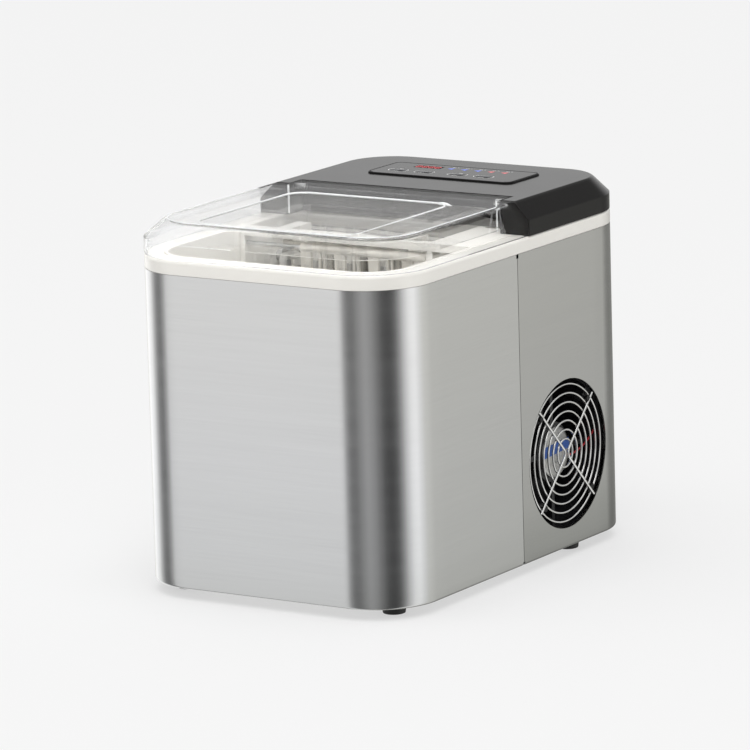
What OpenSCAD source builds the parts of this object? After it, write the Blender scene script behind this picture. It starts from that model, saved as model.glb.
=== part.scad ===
// Countertop ice maker: a steel cabinet, a white tank with a basket, a bullet-ice
// mechanism, a sealed cooling circuit, and a hinged clear lid in front of a black hood.
// The origin is on the floor under the middle of the cabinet. +X is the side with the
// fan, -Y is the front, +Z is up. All sizes are in millimetres.

/* [Cabinet] */
// Width of the cabinet
body_w = 240; // [228:1:280]
// Depth of the cabinet
body_d = 350; // [338:1:390]
// Corner radius of the cabinet in plan
corner_r = 50; // [44:1:54]
// Height of the steel wraps
steel_h = 238; // [232:1:270]
// Thickness of the steel sheet
steel_t = 1; // [0.8:0.1:1.4]
// Width of the flange turned in at the bottom of the steel
flange_w = 8; // [6:0.5:8.5]
// Place of the vertical seam between the two wraps
seam_y = 0; // [-4:1:4]
// Gap of the seam
seam_gap = 0.6; // [0.4:0.1:1]
// Height of the steel above the floor
clearance_h = 8; // [7:0.5:12]
// Thickness of the base pan
pan_t = 2.5; // [2:0.5:4]

/* [Feet] */
// Distance of the front feet from the cabinet's side
front_foot_side = 29; // [26:1:34]
// Distance of the front feet from the cabinet's front
front_foot_front = 36; // [33:1:43]
// Distance of the rear feet from the cabinet's side
rear_foot_side = 19; // [17:1:24]
// Distance of the rear feet from the cabinet's back
rear_foot_back = 79; // [65:1:87]
// Radius of a foot at the floor
foot_r = 8.5; // [7:0.5:9]
// Radius of the foot screws
screw_r = 2; // [1.5:0.1:2.5]

/* [Rim, hood and lid] */
// Height of the white rim
rim_h = 11; // [9:1:14]
// Width of the ledge that the rim shows around the tank
ledge_w = 15.7; // [14:0.1:17]
// Height of the upright wall of the hood and lid
brow_h = 12; // [10:1:16]
// Height of the slanted shoulder of the hood and lid
shoulder_h = 13; // [11:1:16]
// How far the shoulder leans in at the sides and back
shoulder_in = 13; // [11:1:16]
// How far the shoulder leans in at the front of the lid
shoulder_front = 20; // [16:1:24]
// Wall of the hood
hood_t = 2.5; // [2:0.1:3]
// Wall of the lid
lid_t = 2.5; // [2:0.1:3]
// Place of the hood's front wall behind the lid
hood_y = 38; // [36:1:42]
// Place of the front of the two hinge ears
ear_y = 18; // [15:1:20]
// Distance of the ears' inner faces from the middle plane
ear_x = 94; // [88:1:96]
// Radius of the rounded front edge of the ears
ear_edge_r = 4; // [3.5:0.5:8]
// Clearance between the lid and the hood
lid_gap = 0.3; // [0.2:0.1:0.6]
// Distance of the hinge axis ahead of the hood's front wall
hinge_back = 8; // [7.5:0.1:9]
// Depth of the hinge axis below the top
hinge_drop = 5; // [4.9:0.1:6]
// Radius of the hinge pins
hinge_pin_r = 2.3; // [1.8:0.1:2.4]
// Running clearance of shafts and pins, on the radius
run = 0.06; // [0.03:0.01:0.09]

/* [Control panel] */
// Width of the control panel
panel_w = 130; // [126:1:138]
// Depth of the control panel
panel_d = 48; // [44:1:50]
// Height of the panel above the hood
panel_h = 2; // [1.5:0.5:3]
// Distance of the panel's front edge behind the hood's front wall
panel_back = 45; // [42:1:48]
// Spacing of the two buttons of a pair
button_pitch = 23.4; // [21.4:0.5:25.4]
// Spacing of the two pairs' inner buttons
pair_gap = 29.8; // [27.8:0.5:31.8]
// Length of a button
button_l = 13; // [11:0.5:14]
// Width of a button
button_b = 6; // [5:0.5:7]
// Travel of a button
button_travel = 0.8; // [0.5:0.1:0.8]
// Side of an indicator triangle
lamp_side = 6; // [5:0.5:7]
// Spacing of the indicator lamps
lamp_pitch = 12; // [10:0.5:12.5]

/* [Tank and basket] */
// Wall of the white tank
liner_t = 2.5; // [2:0.1:3]
// Back of the tank's upper part
tank_back = 52; // [50:1:56]
// Back of the tank's lower part
well_back = -2; // [-4:1:0]
// Depth of the shelf under the freezing mechanism, below the rim's top
shelf_drop = 75; // [73:1:79]
// Height of the step that carries the basket
step_z = 118; // [110:1:124]
// Width of the step that carries the basket
step_w = 10; // [8:1:12]
// Height of the tank's underside above the floor
tank_z = 26; // [24:1:30]
// Distance of the basket's back ahead of the ice shovel's axis
basket_back = 8.3; // [7.3:0.1:20]
// Height of the basket
basket_h = 88; // [70:1:92]
// Wall of the basket
basket_t = 2; // [1.5:0.1:2.5]
// Clearance between the basket and the tank
basket_gap = 1.5; // [1.2:0.1:3]

/* [Freezing mechanism] */
// Distance of the water tray's axis behind the middle
tray_y = 8; // [6:1:10]
// Depth of the water tray's axis below the rim's top
tray_drop = 29; // [27:0.5:30]
// Outer radius of the water tray
tray_r = 35; // [33:0.5:35.5]
// Wall of the water tray
tray_t = 2; // [1.6:0.1:2.4]
// Gap between the left cheek and the water tray
tray_gap = 5.5; // [4:0.5:8]
// Room beside the water tray for its motor
motor_room = 37.5; // [36.5:0.5:42]
// Radius of a freezing finger
finger_r = 4.5; // [4:0.1:5]
// Length of a freezing finger
finger_l = 34; // [28:1:35]
// Distance of the end fingers from the water tray's ends
finger_in = 18; // [16:1:26]
// Spacing of the two rows of fingers
row_pitch = 22; // [20:1:24]
// Distance of the ice shovel's axis ahead of the tray's axis
shovel_fwd = 43; // [42:0.5:44]
// Depth of the ice shovel's axis below the rim's top
shovel_drop = 12; // [11:0.5:14]
// Length of the ice shovel's teeth
tooth_l = 35; // [30:1:35]
// Width of an ice shovel's tooth
tooth_w = 9; // [6:0.5:10]

/* [Fan and condenser] */
// Distance of the fan's axis behind the middle
fan_y = 68; // [66:1:70]
// Height of the fan's axis
fan_z = 81; // [80:0.5:84]
// Radius of the fan opening in the steel
fan_open_r = 57.5; // [55:0.5:58]
// Number of rings in the fan guard
guard_rings = 7; // [6:1:8]
// Radius of the guard's wire
wire_r = 0.9; // [0.8:0.05:1]
// Radius of the fan blades
blade_r = 53; // [50:0.5:54]
// Number of fan blades
blades = 7; // [5:1:9]
// Radius of the fan motor
motor_r = 20; // [18:0.5:21]
// Thickness of the condenser
condenser_t = 26; // [22:1:28]
// Number of condenser fins
fins = 24; // [16:1:30]
// Radius of the condenser's tube
tube_r = 3.2; // [2.6:0.1:3.6]
// Radius of the compressor's can
can_r = 50; // [46:1:52]
// Height of the compressor's can
can_h = 112; // [100:1:120]

/* [Hidden] */
$fn = 64;
eps = 0.5;
hull_fn = 40;

// Levels
steel_z0 = clearance_h;
steel_z1 = steel_z0 + steel_h;
deck_z = steel_z1 + rim_h;
brow_z = deck_z + brow_h;
top_z = brow_z + shoulder_h;
shelf_z = deck_z - shelf_drop;
tray_z = deck_z - tray_drop;
shovel_z = deck_z - shovel_drop;
pan_z0 = steel_z0 + steel_t;
pan_z1 = pan_z0 + pan_t;
plinth_h = 2.5;
plinth_z = pan_z1 + plinth_h;

// Inside of the steel and outside of the tank
in_x = body_w / 2 - steel_t;
in_y = body_d / 2 - steel_t;
tank_x = body_w / 2 - ledge_w;
tank_front = ledge_w - body_d / 2;
tank_r = corner_r - ledge_w;
fit = 0.3;
hole_gap = 0.1;
skirt_t = 1.5;
skirt_drop = 5;
foam_gap = 1.4;

// Hinge
hinge_y = hood_y - hinge_back;
hinge_z = top_z - hinge_drop;
lip_r = hinge_back - lid_gap;
pin_in = 9;
pin_out = 6;
boss_t = 2;

// Panel
panel_y0 = hood_y + panel_back;
panel_y1 = panel_y0 + panel_d;
panel_y = (panel_y0 + panel_y1) / 2;
panel_z = top_z + panel_h;
skirt_in = 3;
panel_skirt_t = 2;
panel_skirt_h = 6;
board_z = top_z - panel_skirt_h;
panel_r = 6;
button_x0 = -button_pitch - pair_gap / 2 - 6;
button_y = panel_y0 + 15.5;
lamp_y = panel_y1 - 12.5;
lamp_x0 = -8.7;
lamp_gap = 0.25;
window_x = [-41, -17];
window_h = 9;
window_y = [lamp_y - window_h / 2, lamp_y + window_h / 2];
window_gap = 0.15;
collar_z = [top_z - 2.4, top_z - 0.3];
button_fit = 0.3;
button_proud = 0.3;
button_flange = 1;

// Mechanism
frame_x = [-(tank_x - liner_t - fit), tank_x - liner_t - fit];
cheek_t = 4;
cheek_gap = 1;
tray_x0 = frame_x[0] + cheek_t + tray_gap;
tray_x1 = frame_x[1] - motor_room;
tray_cx = (tray_x0 + tray_x1) / 2;
finger_pitch = (tray_x1 - tray_x0 - 2 * finger_in) / 4;
plate_z0 = tray_z + 10;
plate_t = 6;
shovel_y = tray_y - shovel_fwd;
shovel_pin_r = 1.6;
tray_pin_r = 4;
rail_d = 7;
basket_y1 = shovel_y - basket_back;
basket_y0 = tank_front + liner_t + basket_gap;
basket_x = tank_x - liner_t - basket_gap;

// Cooling
side_x = body_w / 2;
guard_x = side_x - 0.5 - wire_r;
guard_r0 = 10.9;
guard_pitch = 7;
duct_t = 2;
duct_r = fan_open_r - 0.5;
shroud_x0 = side_x - 53;
shroud_x1 = side_x - steel_t - 1.4 - 2 * wire_r;
spider_x = [side_x - 20, side_x - 14];
motor_x = [side_x - 28, side_x - 10];
fan_x = [side_x - 48, side_x - 31];
condenser_x = [shroud_x0 - fit - condenser_t, shroud_x0 - fit];
condenser_y = [fan_y - 46, fan_y + 57];
condenser_z = [pan_z1, fan_z + 60];
cup_depth = 10;
can_gap = 12;
can_x = -50;
can_y = in_y - cup_depth - can_gap - can_r;
can_z = 34;

// ---------------------------------------------------------------- helpers

// A plate with rounded corners in plan, centred on the middle, between two heights
module slab(w, d, r, z) {
    translate([0, 0, z[0]]) linear_extrude(z[1] - z[0]) {
        square([w - 2 * r, d], center = true);
        square([w, d - 2 * r], center = true);
        for (x = [-1, 1], y = [-1, 1])
            translate([x * (w / 2 - r), y * (d / 2 - r)]) circle(r);
    }
}

// A box between two values on each axis
module block(x, y, z) {
    translate([x[0], y[0], z[0]]) cube([x[1] - x[0], y[1] - y[0], z[1] - z[0]]);
}

// The same box with its upright edges rounded
module soft_block(x, y, z, r) {
    translate([(x[0] + x[1]) / 2, (y[0] + y[1]) / 2, 0]) slab(x[1] - x[0], y[1] - y[0], r, z);
}

// Round bars along each axis: a span along the axis, then the two other coordinates
module rod_x(x, y, z, r) {
    translate([x[0], y, z]) rotate([0, 90, 0]) cylinder(h = x[1] - x[0], r = r);
}
module rod_y(y, x, z, r) {
    translate([x, y[1], z]) rotate([90, 0, 0]) cylinder(h = y[1] - y[0], r = r);
}
module rod_z(z, x, y, r) {
    translate([x, y, z[0]]) cylinder(h = z[1] - z[0], r = r);
}

// Copies on both sides of the middle plane
module both_sides() {
    children();
    mirror([1, 0, 0]) children();
}

// A path whose corners are rounded by short quadratic curves of leg r
function unit(v) = v / norm(v);
function rounded(p, r, n = 4) = concat([p[0]],
    [for (i = [1:len(p) - 2])
        let (a = p[i] + unit(p[i - 1] - p[i]) * r, b = p[i] + unit(p[i + 1] - p[i]) * r)
        for (k = [0:n]) let (s = k / n)
            (1 - s) * (1 - s) * a + 2 * s * (1 - s) * p[i] + s * s * b],
    [p[len(p) - 1]]);
function heading(p, i) = unit(p[min(i + 1, len(p) - 1)] - p[max(i - 1, 0)]);
function carried(p, i, n) = i == len(p) ? [] :
    let (t = heading(p, i), m = unit(n - (n * t) * t)) concat([m], carried(p, i + 1, m));

// A tube of radius r swept along a path
module sweep(p, r, sides = 10) {
    last = len(p) - 1;
    start = abs(heading(p, 0)[2]) < 0.9 ? [0, 0, 1] : [1, 0, 0];
    ns = carried(p, 0, start);
    points = [for (i = [0:last]) let (b = cross(heading(p, i), ns[i]))
        for (k = [0:sides - 1])
            p[i] + r * cos(360 * k / sides) * ns[i] + r * sin(360 * k / sides) * b];
    sideFaces = [for (i = [0:last - 1], k = [0:sides - 1])
        let (a = i * sides + k, b = i * sides + (k + 1) % sides)
        [a, a + sides, b + sides, b]];
    ends = [[for (k = [0:sides - 1]) k],
        [for (k = [sides - 1:-1:0]) last * sides + k]];
    polyhedron(points = points, faces = concat(sideFaces, ends));
}

// A pan-head screw that points up, its head's underside at z
head_h = 2;
head_ratio = 1.9;
module screw_up(x, y, z, length, r = screw_r) {
    rod_z([z - head_h, z], x, y, head_ratio * r);
    rod_z([z, z + length], x, y, r);
}

// ---------------------------------------------------------------- cabinet

module foot_places() {
    both_sides() {
        translate([body_w / 2 - front_foot_side, front_foot_front - body_d / 2, 0]) children();
        translate([body_w / 2 - rear_foot_side, body_d / 2 - rear_foot_back, 0]) children();
    }
}

foot_recess_h = 5;
foot_flare = 1;
module feet() {
    color("#1b1b1c") foot_places() difference() {
        cylinder(h = pan_z0, r1 = foot_r, r2 = foot_r + foot_flare);
        rod_z([-eps, foot_recess_h], 0, 0, head_ratio * screw_r + 0.7);
        rod_z([-eps, pan_z0 + eps], 0, 0, screw_r + hole_gap);
    }
}

nut_h = 2;
nut_ratio = 1.8;
module foot_screws() {
    color("#b9bcc0") foot_places() {
        screw_up(0, 0, foot_recess_h, pan_z1 + nut_h - foot_recess_h);
        rod_z([pan_z1, pan_z1 + nut_h], 0, 0, nut_ratio * screw_r);
    }
}

// Feet of the compressor, as offsets from its middle
can_foot = 40;
can_feet = [for (x = [-1, 1], y = [-1, 1]) [x * can_foot, y * can_foot]];
grommet_r = 8;
bolt_r = 3;

// Drain spout under the tank
drain_y = tank_front + 41.3;
spout_r = 6;
spout_wall = 3;

// Air slots under the compressor
pan_slots = 7;
pan_slot_w = 3;
pan_slot_x = 22;
plinth_x = body_w / 2 - 42;

module base_pan() {
    color("#3a3b3d") difference() {
        union() {
            slab(2 * (in_x - fit), 2 * (in_y - fit), corner_r - steel_t - fit, [pan_z0, pan_z1]);
            block([-plinth_x, plinth_x], [tank_front + step_w, well_back], [pan_z1 - eps, plinth_z]);
        }
        foot_places() rod_z([0, pan_z1 + eps], 0, 0, screw_r + hole_gap);
        rod_z([0, plinth_z + eps], 0, drain_y, spout_r + spout_wall + fit);
        for (f = can_feet) rod_z([0, pan_z1 + eps], can_x + f[0], can_y + f[1], bolt_r);
        for (i = [0:pan_slots - 1]) let (y = can_y + (2 * i - pan_slots) * pan_slot_w)
            block([can_x - pan_slot_x, can_x + pan_slot_x], [y, y + pan_slot_w], [0, pan_z1 + eps]);
    }
}

// Both wraps in one: a thin upright wall with a flange turned in at the bottom
module wrap_shell() {
    difference() {
        slab(body_w, body_d, corner_r, [steel_z0, steel_z1]);
        slab(2 * in_x, 2 * in_y, corner_r - steel_t, [pan_z0, steel_z1 + eps]);
        slab(body_w - 2 * flange_w, body_d - 2 * flange_w, corner_r - flange_w,
            [0, pan_z0 + eps]);
    }
}

notch = 3;
module seam_notches() {
    for (z = [[0, steel_z0 + notch], [steel_z1 - notch, steel_z1 + eps]])
        block([-body_w, body_w], [seam_y - notch / 2, seam_y + notch / 2], z);
}

module front_wrap() {
    color("#c4c5c4") difference() {
        wrap_shell();
        block([-body_w, body_w], [seam_y - seam_gap / 2, body_d], [0, steel_z1 + eps]);
        seam_notches();
    }
}

// Slots of the warm side and the back, in rows
slot_h = 3.5;
slot_pitch = 9;
slot_rows = 11;
slot_z0 = 44;
slot_l = 40;
side_slots_y = [34, 80];
back_slots_x = [-14, 62];

// Recess of the cord's inlet
cup_x = [-64, -28];
cup_z = [34, 70];
module rear_wrap() {
    color("#b9b8b2") difference() {
        wrap_shell();
        block([-body_w, body_w], [-body_d, seam_y + seam_gap / 2], [0, steel_z1 + eps]);
        seam_notches();
        rod_x([0, body_w], fan_y, fan_z, fan_open_r);
        for (i = [0:slot_rows - 1]) {
            z = [slot_z0 + slot_pitch * i, slot_z0 + slot_pitch * i + slot_h];
            for (y = side_slots_y) block([-body_w, 0], [y, y + slot_l], z);
            block(back_slots_x, [0, body_d], z);
        }
        block(cup_x, [0, body_d], cup_z);
    }
}

strip_w = 16;
strip_t = 1.2;
module seam_strips() {
    color("#2a2a2b") both_sides()
        block([in_x - strip_t, in_x], [seam_y - strip_w / 2, seam_y + strip_w / 2],
            [pan_z1 + fit, steel_z1 - skirt_drop - fit]);
}

// ---------------------------------------------------------------- rim

// Screws in the middle of the ledge, with bosses that just meet the hood's wall
rim_side_y = tank_back + 24;
rim_corner = corner_r - (corner_r - ledge_w / 2) / sqrt(2);
rim_screw_places = [[body_w / 2 - ledge_w / 2, rim_side_y],
    [body_w / 2 - rim_corner, body_d / 2 - rim_corner]];
boss_r = ledge_w / 2 - hood_t + fit;
boss_h = 11;
boss_hole_h = 7;
rim_bridge = 10;
rear_bay_y = [tank_back + rim_bridge, body_d / 2 - ledge_w];
rear_bay_r = 30;
notch_h = 7;

module top_rim() {
    color("#eeebe4") difference() {
        union() {
            slab(body_w, body_d, corner_r, [steel_z1, deck_z]);
            difference() {
                slab(2 * (in_x - fit), 2 * (in_y - fit), corner_r - steel_t - fit,
                    [steel_z1 - skirt_drop, steel_z1 + eps]);
                slab(2 * (in_x - fit - skirt_t), 2 * (in_y - fit - skirt_t),
                    corner_r - steel_t - fit - skirt_t, [steel_z1 - skirt_drop - 1, steel_z1 + 1]);
            }
        }
        tank_plan(fit, [0, top_z], tank_back);
        soft_block([-tank_x, tank_x], rear_bay_y, [0, top_z], rear_bay_r);
        block([-tank_x, tank_x], [rear_bay_y[0], rear_bay_y[1] - rear_bay_r], [0, top_z]);
        block(pipe_notch, [tank_back, rear_bay_y[0] + eps], [steel_z1 - eps, steel_z1 + notch_h]);
        both_sides() for (p = rim_screw_places)
            rod_z([0, top_z], p[0], p[1], screw_r + hole_gap);
    }
}

module rim_screws() {
    color("#b9bcc0") both_sides() for (p = rim_screw_places)
        screw_up(p[0], p[1], steel_z1, rim_h + boss_hole_h);
}

// ---------------------------------------------------------------- tank

// Plan of the tank grown by c: round at the front, nearly square at the back
module tank_plan(c, z, back) {
    x = tank_x + c;
    y0 = tank_front - c;
    y1 = back + c;
    r = tank_r + c;
    soft_block([-x, x], [y0, y0 + 2 * r + 20], z, r);
    block([-x, x], [y0 + r, y1], z);
}

// The tank's outer shape grown by c: a reservoir, a well for the basket, and a bay at the back
module tank_volume(c, top) {
    tank_plan(c, [shelf_z - liner_t - c, top], tank_back);
    tank_plan(c, [step_z - liner_t - c, top], well_back);
    intersection() {
        tank_plan(c, [tank_z - c, top], well_back);
        soft_block([-(tank_x - step_w + c), tank_x - step_w + c],
            [tank_front + step_w - c, well_back - step_w + c], [tank_z - c, top],
            tank_r - step_w + c);
    }
}

sensor_y = tray_y - 11;
sensor_z = tray_z - 6;
sensor_r = 3;
sensor_l = 7.5;

// Passage of the three cooling pipes into the tank, from the side of the gear motor
pipe_notch = [tray_x1 + 7, tray_x1 + 31];
notch_z = tray_z + 14;
pipe_edge = 5;
suction_x = pipe_notch[0] + pipe_edge;
capillary_x = (pipe_notch[0] + pipe_notch[1]) / 2;
gas_x = pipe_notch[1] - pipe_edge;
module inner_liner() {
    color("#f2f0ea") difference() {
        union() {
            difference() {
                tank_volume(0, deck_z);
                tank_volume(-liner_t, deck_z + eps);
            }
            rod_z([pan_z0, tank_z + liner_t], 0, drain_y, spout_r + spout_wall);
        }
        rod_z([0, tank_z + liner_t + eps], 0, drain_y, spout_r);
        both_sides() rod_x([tank_x - liner_t - eps, tank_x + eps], sensor_y, sensor_z, sensor_r + hole_gap);
        block(pipe_notch, [tank_back - liner_t - eps, tank_back + eps], [notch_z, deck_z + eps]);
    }
}

foam_rear_t = 8;
foam_top = steel_z1 - skirt_drop - 1;
module foam_insulation() {
    foam_x = in_x - foam_gap;
    foam_y = in_y - foam_gap;
    foam_r = corner_r - steel_t - foam_gap;
    color("#f7f7f5") difference() {
        union() {
            intersection() {
                slab(2 * foam_x, 2 * foam_y, foam_r, [plinth_z, foam_top]);
                block([-foam_x, foam_x], [-foam_y, well_back + foam_rear_t], [0, top_z]);
            }
            block([-foam_x, foam_x], [0, tank_back + foam_rear_t],
                [shelf_z - liner_t - 1.5 * foam_rear_t, foam_top]);
        }
        tank_volume(fit / 2, top_z);
        rod_z([0, tank_z + eps], 0, drain_y, spout_r + spout_wall + fit);
        block(pipe_notch, [tank_back, tank_back + foam_rear_t + eps], [notch_z - pipe_edge, top_z]);
        both_sides() rod_x([tank_x - eps, tank_x + sensor_l + fit], sensor_y, sensor_z, sensor_r + fit);
    }
}

// ---------------------------------------------------------------- hood and lid

// The crown that the lid and hood share, with every face moved in by c
skin = 0.02;
module crown(c) {
    lean = tan(22.5) * c;
    y0 = shoulder_front + lean - body_d / 2;
    y1 = body_d / 2 - shoulder_in - lean;
    x1 = body_w / 2 - shoulder_in - lean;
    hull($fn = hull_fn) {
        slab(body_w - 2 * c, body_d - 2 * c, corner_r - c, [deck_z - (c > 0 ? 1 : 0), brow_z - lean],
            $fn = hull_fn);
        soft_block([-x1, x1], [y0, y1], [top_z - c - skin, top_z - c], corner_r - shoulder_in - lean,
            $fn = hull_fn);
    }
}

// Side view of the hood and its ears, moved in by c, as a solid across the width
module ear_profile(c) {
    r = max(ear_edge_r - c, 0.2);
    arc = [for (a = [180:-10:90])
        [ear_y + c + r + r * cos(a), top_z - c - r + r * sin(a)]];
    rotate([90, 0, 90]) translate([0, 0, -body_w]) linear_extrude(2 * body_w)
        polygon(concat([[ear_y + c, steel_z1]], arc, [[body_d, top_z - c], [body_d, steel_z1]]));
}

module hood_volume(c) {
    difference() {
        intersection() {
            crown(c);
            ear_profile(c);
        }
        block([-ear_x - c, ear_x + c], [-body_d, hood_y + c], [0, 2 * top_z]);
    }
}

module hood() {
    color("#1d1c1c") difference() {
        union() {
            difference() {
                hood_volume(0);
                hood_volume(hood_t);
            }
            both_sides() {
                rod_x([ear_x + eps, ear_x + pin_out + 2 * boss_t], hinge_y, hinge_z, hinge_pin_r + boss_t);
                for (p = rim_screw_places) rod_z([deck_z, deck_z + boss_h], p[0], p[1], boss_r);
            }
        }
        both_sides() {
            rod_x([ear_x - eps, ear_x + pin_out + boss_t / 2], hinge_y, hinge_z, hinge_pin_r + run);
            for (p = rim_screw_places) rod_z([0, deck_z + boss_hole_h], p[0], p[1], screw_r);
        }
        block([-panel_w / 2 + skirt_in - fit, panel_w / 2 - skirt_in + fit],
            [panel_y0 + skirt_in - fit, panel_y1 - skirt_in + fit], [top_z - hood_t - eps, top_z + eps]);
    }
}

recess_x = 70;
recess_y = [shoulder_front + 3 - body_d / 2, ear_y - 26];
recess_depth = 0.8;
recess_r = 16;
lip_t = 2.2;
lid_floor = deck_z + 5;
module lid() {
    notch_x = ear_x - lid_gap;
    wide_y = ear_y - lid_gap;
    color("#dfe6ea", 0.35) difference() {
        union() {
            intersection() {
                union() {
                    difference() {
                        crown(0);
                        crown(lid_t);
                    }
                    intersection() {
                        crown(0);
                        union() {
                            both_sides() block([notch_x - lid_t, body_w], [wide_y - lid_t, wide_y],
                                [deck_z, 2 * top_z]);
                            both_sides() block([notch_x - lid_t, notch_x],
                                [wide_y - lid_t, hood_y], [lid_floor, 2 * top_z]);
                        }
                    }
                }
                union() {
                    block([-body_w, body_w], [-body_d, wide_y], [deck_z + lid_gap, top_z + eps]);
                    block([-notch_x, notch_x], [-body_d, hood_y - lid_gap], [lid_floor, top_z + eps]);
                }
            }
            both_sides() rod_x([notch_x - pin_in - boss_t, notch_x], hinge_y, hinge_z, hinge_pin_r + lip_t);
            difference() {
                rod_x([-notch_x, notch_x], hinge_y, hinge_z, lip_r);
                rod_x([-body_w, body_w], hinge_y, hinge_z, lip_r - lip_t);
                block([-body_w, body_w], [-body_d, hinge_y + lip_t], [0, 2 * top_z]);
                block([-body_w, body_w], [0, body_d], [0, hinge_z - hinge_drop]);
                block([-body_w, body_w], [0, body_d], [top_z, 2 * top_z]);
            }
        }
        difference() {
            block([-body_w, body_w], [hinge_y, body_d], [hinge_z, 2 * top_z]);
            rod_x([-2 * body_w, 2 * body_w], hinge_y, hinge_z, lip_r);
        }
        both_sides() rod_x([notch_x - pin_in, notch_x + eps], hinge_y, hinge_z, hinge_pin_r);
        soft_block([-recess_x, recess_x], recess_y, [top_z - recess_depth, top_z + eps], recess_r);
    }
}

module lid_pins() {
    color("#c9ccd0") both_sides()
        rod_x([ear_x - lid_gap - pin_in, ear_x + pin_out], hinge_y, hinge_z, hinge_pin_r);
}

// ---------------------------------------------------------------- control panel

module button_place(i) {
    translate([button_x0 + i * button_pitch + (i > 1 ? pair_gap - button_pitch : 0), button_y, 0])
        children();
}
module lamp_shape(side) {
    rotate(180) circle(side / sqrt(3), $fn = 3);
}
module lamp_places() {
    for (i = [0:4]) translate([lamp_x0 + i * lamp_pitch, lamp_y, 0]) children();
}
module oval(l, b, z) {
    translate([0, 0, z[0]]) linear_extrude(z[1] - z[0]) {
        square([l - b, b], center = true);
        for (s = [-1, 1]) translate([s * (l - b) / 2, 0]) circle(b / 2);
    }
}

module control_panel() {
    x = panel_w / 2;
    color("#2c2c2e") difference() {
        union() {
            soft_block([-x, x], [panel_y0, panel_y1], [top_z, panel_z], panel_r);
            difference() {
                block([-x + skirt_in, x - skirt_in], [panel_y0 + skirt_in, panel_y1 - skirt_in],
                    [board_z, top_z + eps]);
                block([-x + skirt_in + panel_skirt_t, x - skirt_in - panel_skirt_t],
                    [panel_y0 + skirt_in + panel_skirt_t, panel_y1 - skirt_in - panel_skirt_t],
                    [board_z - eps, top_z]);
            }
        }
        for (i = [0:3]) button_place(i)
            oval(button_l, button_b, [top_z - eps, panel_z + eps]);
        block(window_x, window_y, [top_z - eps, panel_z + eps]);
        lamp_places() translate([0, 0, top_z - eps]) linear_extrude(panel_h + 2 * eps)
            lamp_shape(lamp_side + 2 * sqrt(3) * lamp_gap);
    }
}

// A button: an oval cap, and a wider collar that the panel holds down
module button(i) {
    cap_l = button_l - 2 * button_fit;
    cap_b = button_b - 2 * button_fit;
    color("#e9e9e9") button_place(i) {
        oval(cap_l, cap_b, [collar_z[0], panel_z + button_proud]);
        oval(cap_l + 2 * button_flange, cap_b + 2 * button_flange, collar_z);
    }
}
module button_1() { button(0); }
module button_2() { button(1); }
module button_3() { button(2); }
module button_4() { button(3); }

lens_drop = 1;
module indicator_lenses() {
    color("#3f74d8") lamp_places() translate([0, 0, top_z - lens_drop])
        linear_extrude(panel_h + lens_drop) lamp_shape(lamp_side);
}

module display_window() {
    color("#7c1216") block([window_x[0] + window_gap, window_x[1] - window_gap],
        [window_y[0] + window_gap, window_y[1] - window_gap], [top_z - lens_drop, panel_z]);
}

// The board under the panel, with a switch under each button and a lamp under each lens
board_t = 1.6;
board_x = panel_w / 2 - skirt_in;
board_screw_x = board_x - 4;
board_screw_r = 1;
board_screw_l = 4.5;
switch_gap = 0.1;
lens_gap = 0.3;
module display_board() {
    lamp_top = top_z - lens_drop - lens_gap;
    color("#1f6b45") {
        difference() {
            block([-board_x, board_x], [panel_y0 + skirt_in, panel_y1 - skirt_in],
                [board_z - board_t, board_z]);
            for (s = [-1, 1])
                rod_z([0, top_z], s * board_screw_x, panel_y, board_screw_r + hole_gap);
        }
        for (i = [0:3]) button_place(i) block([-3, 3], [-2.4, 2.4],
            [board_z, collar_z[0] - button_travel - switch_gap]);
        block([window_x[0] + 1, window_x[1] - 1], [window_y[0] + 1, window_y[1] - 1],
            [board_z, lamp_top]);
        lamp_places() block([-2, 2], [-1.6, 1.6], [board_z, lamp_top]);
    }
}

module board_screws() {
    color("#b9bcc0") for (s = [-1, 1])
        screw_up(s * board_screw_x, panel_y, board_z - board_t, board_screw_l, board_screw_r);
}

// The power board on the rear wall: a transformer, two relays, capacitors and a connector
main_board_y = in_y - 23;
main_board_x = [-52, 52];
main_board_z = [steel_z1 - 74, steel_z1 - 10];
post_in = 6;
post_r = 3.5;
module main_board() {
    z0 = main_board_z[0];
    color("#205f40") {
        block(main_board_x, [main_board_y, main_board_y + board_t], main_board_z);
        block([-46, -14], [main_board_y - 24, main_board_y], [z0 + 8, z0 + 36]);
        for (x = [-4, 18]) block([x, x + 16], [main_board_y - 14, main_board_y], [z0 + 10, z0 + 30]);
        for (x = [-38, -20, 40]) rod_y([main_board_y - 20, main_board_y], x, z0 + 50, 6);
        block([4, 30], [main_board_y - 9, main_board_y], [z0 + 42, z0 + 58]);
    }
}

module board_posts() {
    color("#d9d4c6") for (x = [main_board_x[0] + post_in, main_board_x[1] - post_in],
            z = [main_board_z[0] + post_in, main_board_z[1] - post_in])
        rod_y([main_board_y + board_t, in_y], x, z, post_r);
}

// ---------------------------------------------------------------- basket

basket_r = tank_r - liner_t - basket_gap;
module basket_plan(c, z) {
    x = basket_x - c;
    intersection() {
        soft_block([-x, x], [basket_y0 + c, basket_y0 + 4 * basket_r], z, basket_r - c);
        block([-x, x], [basket_y0 + c, basket_y1 - c], z);
    }
}

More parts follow.
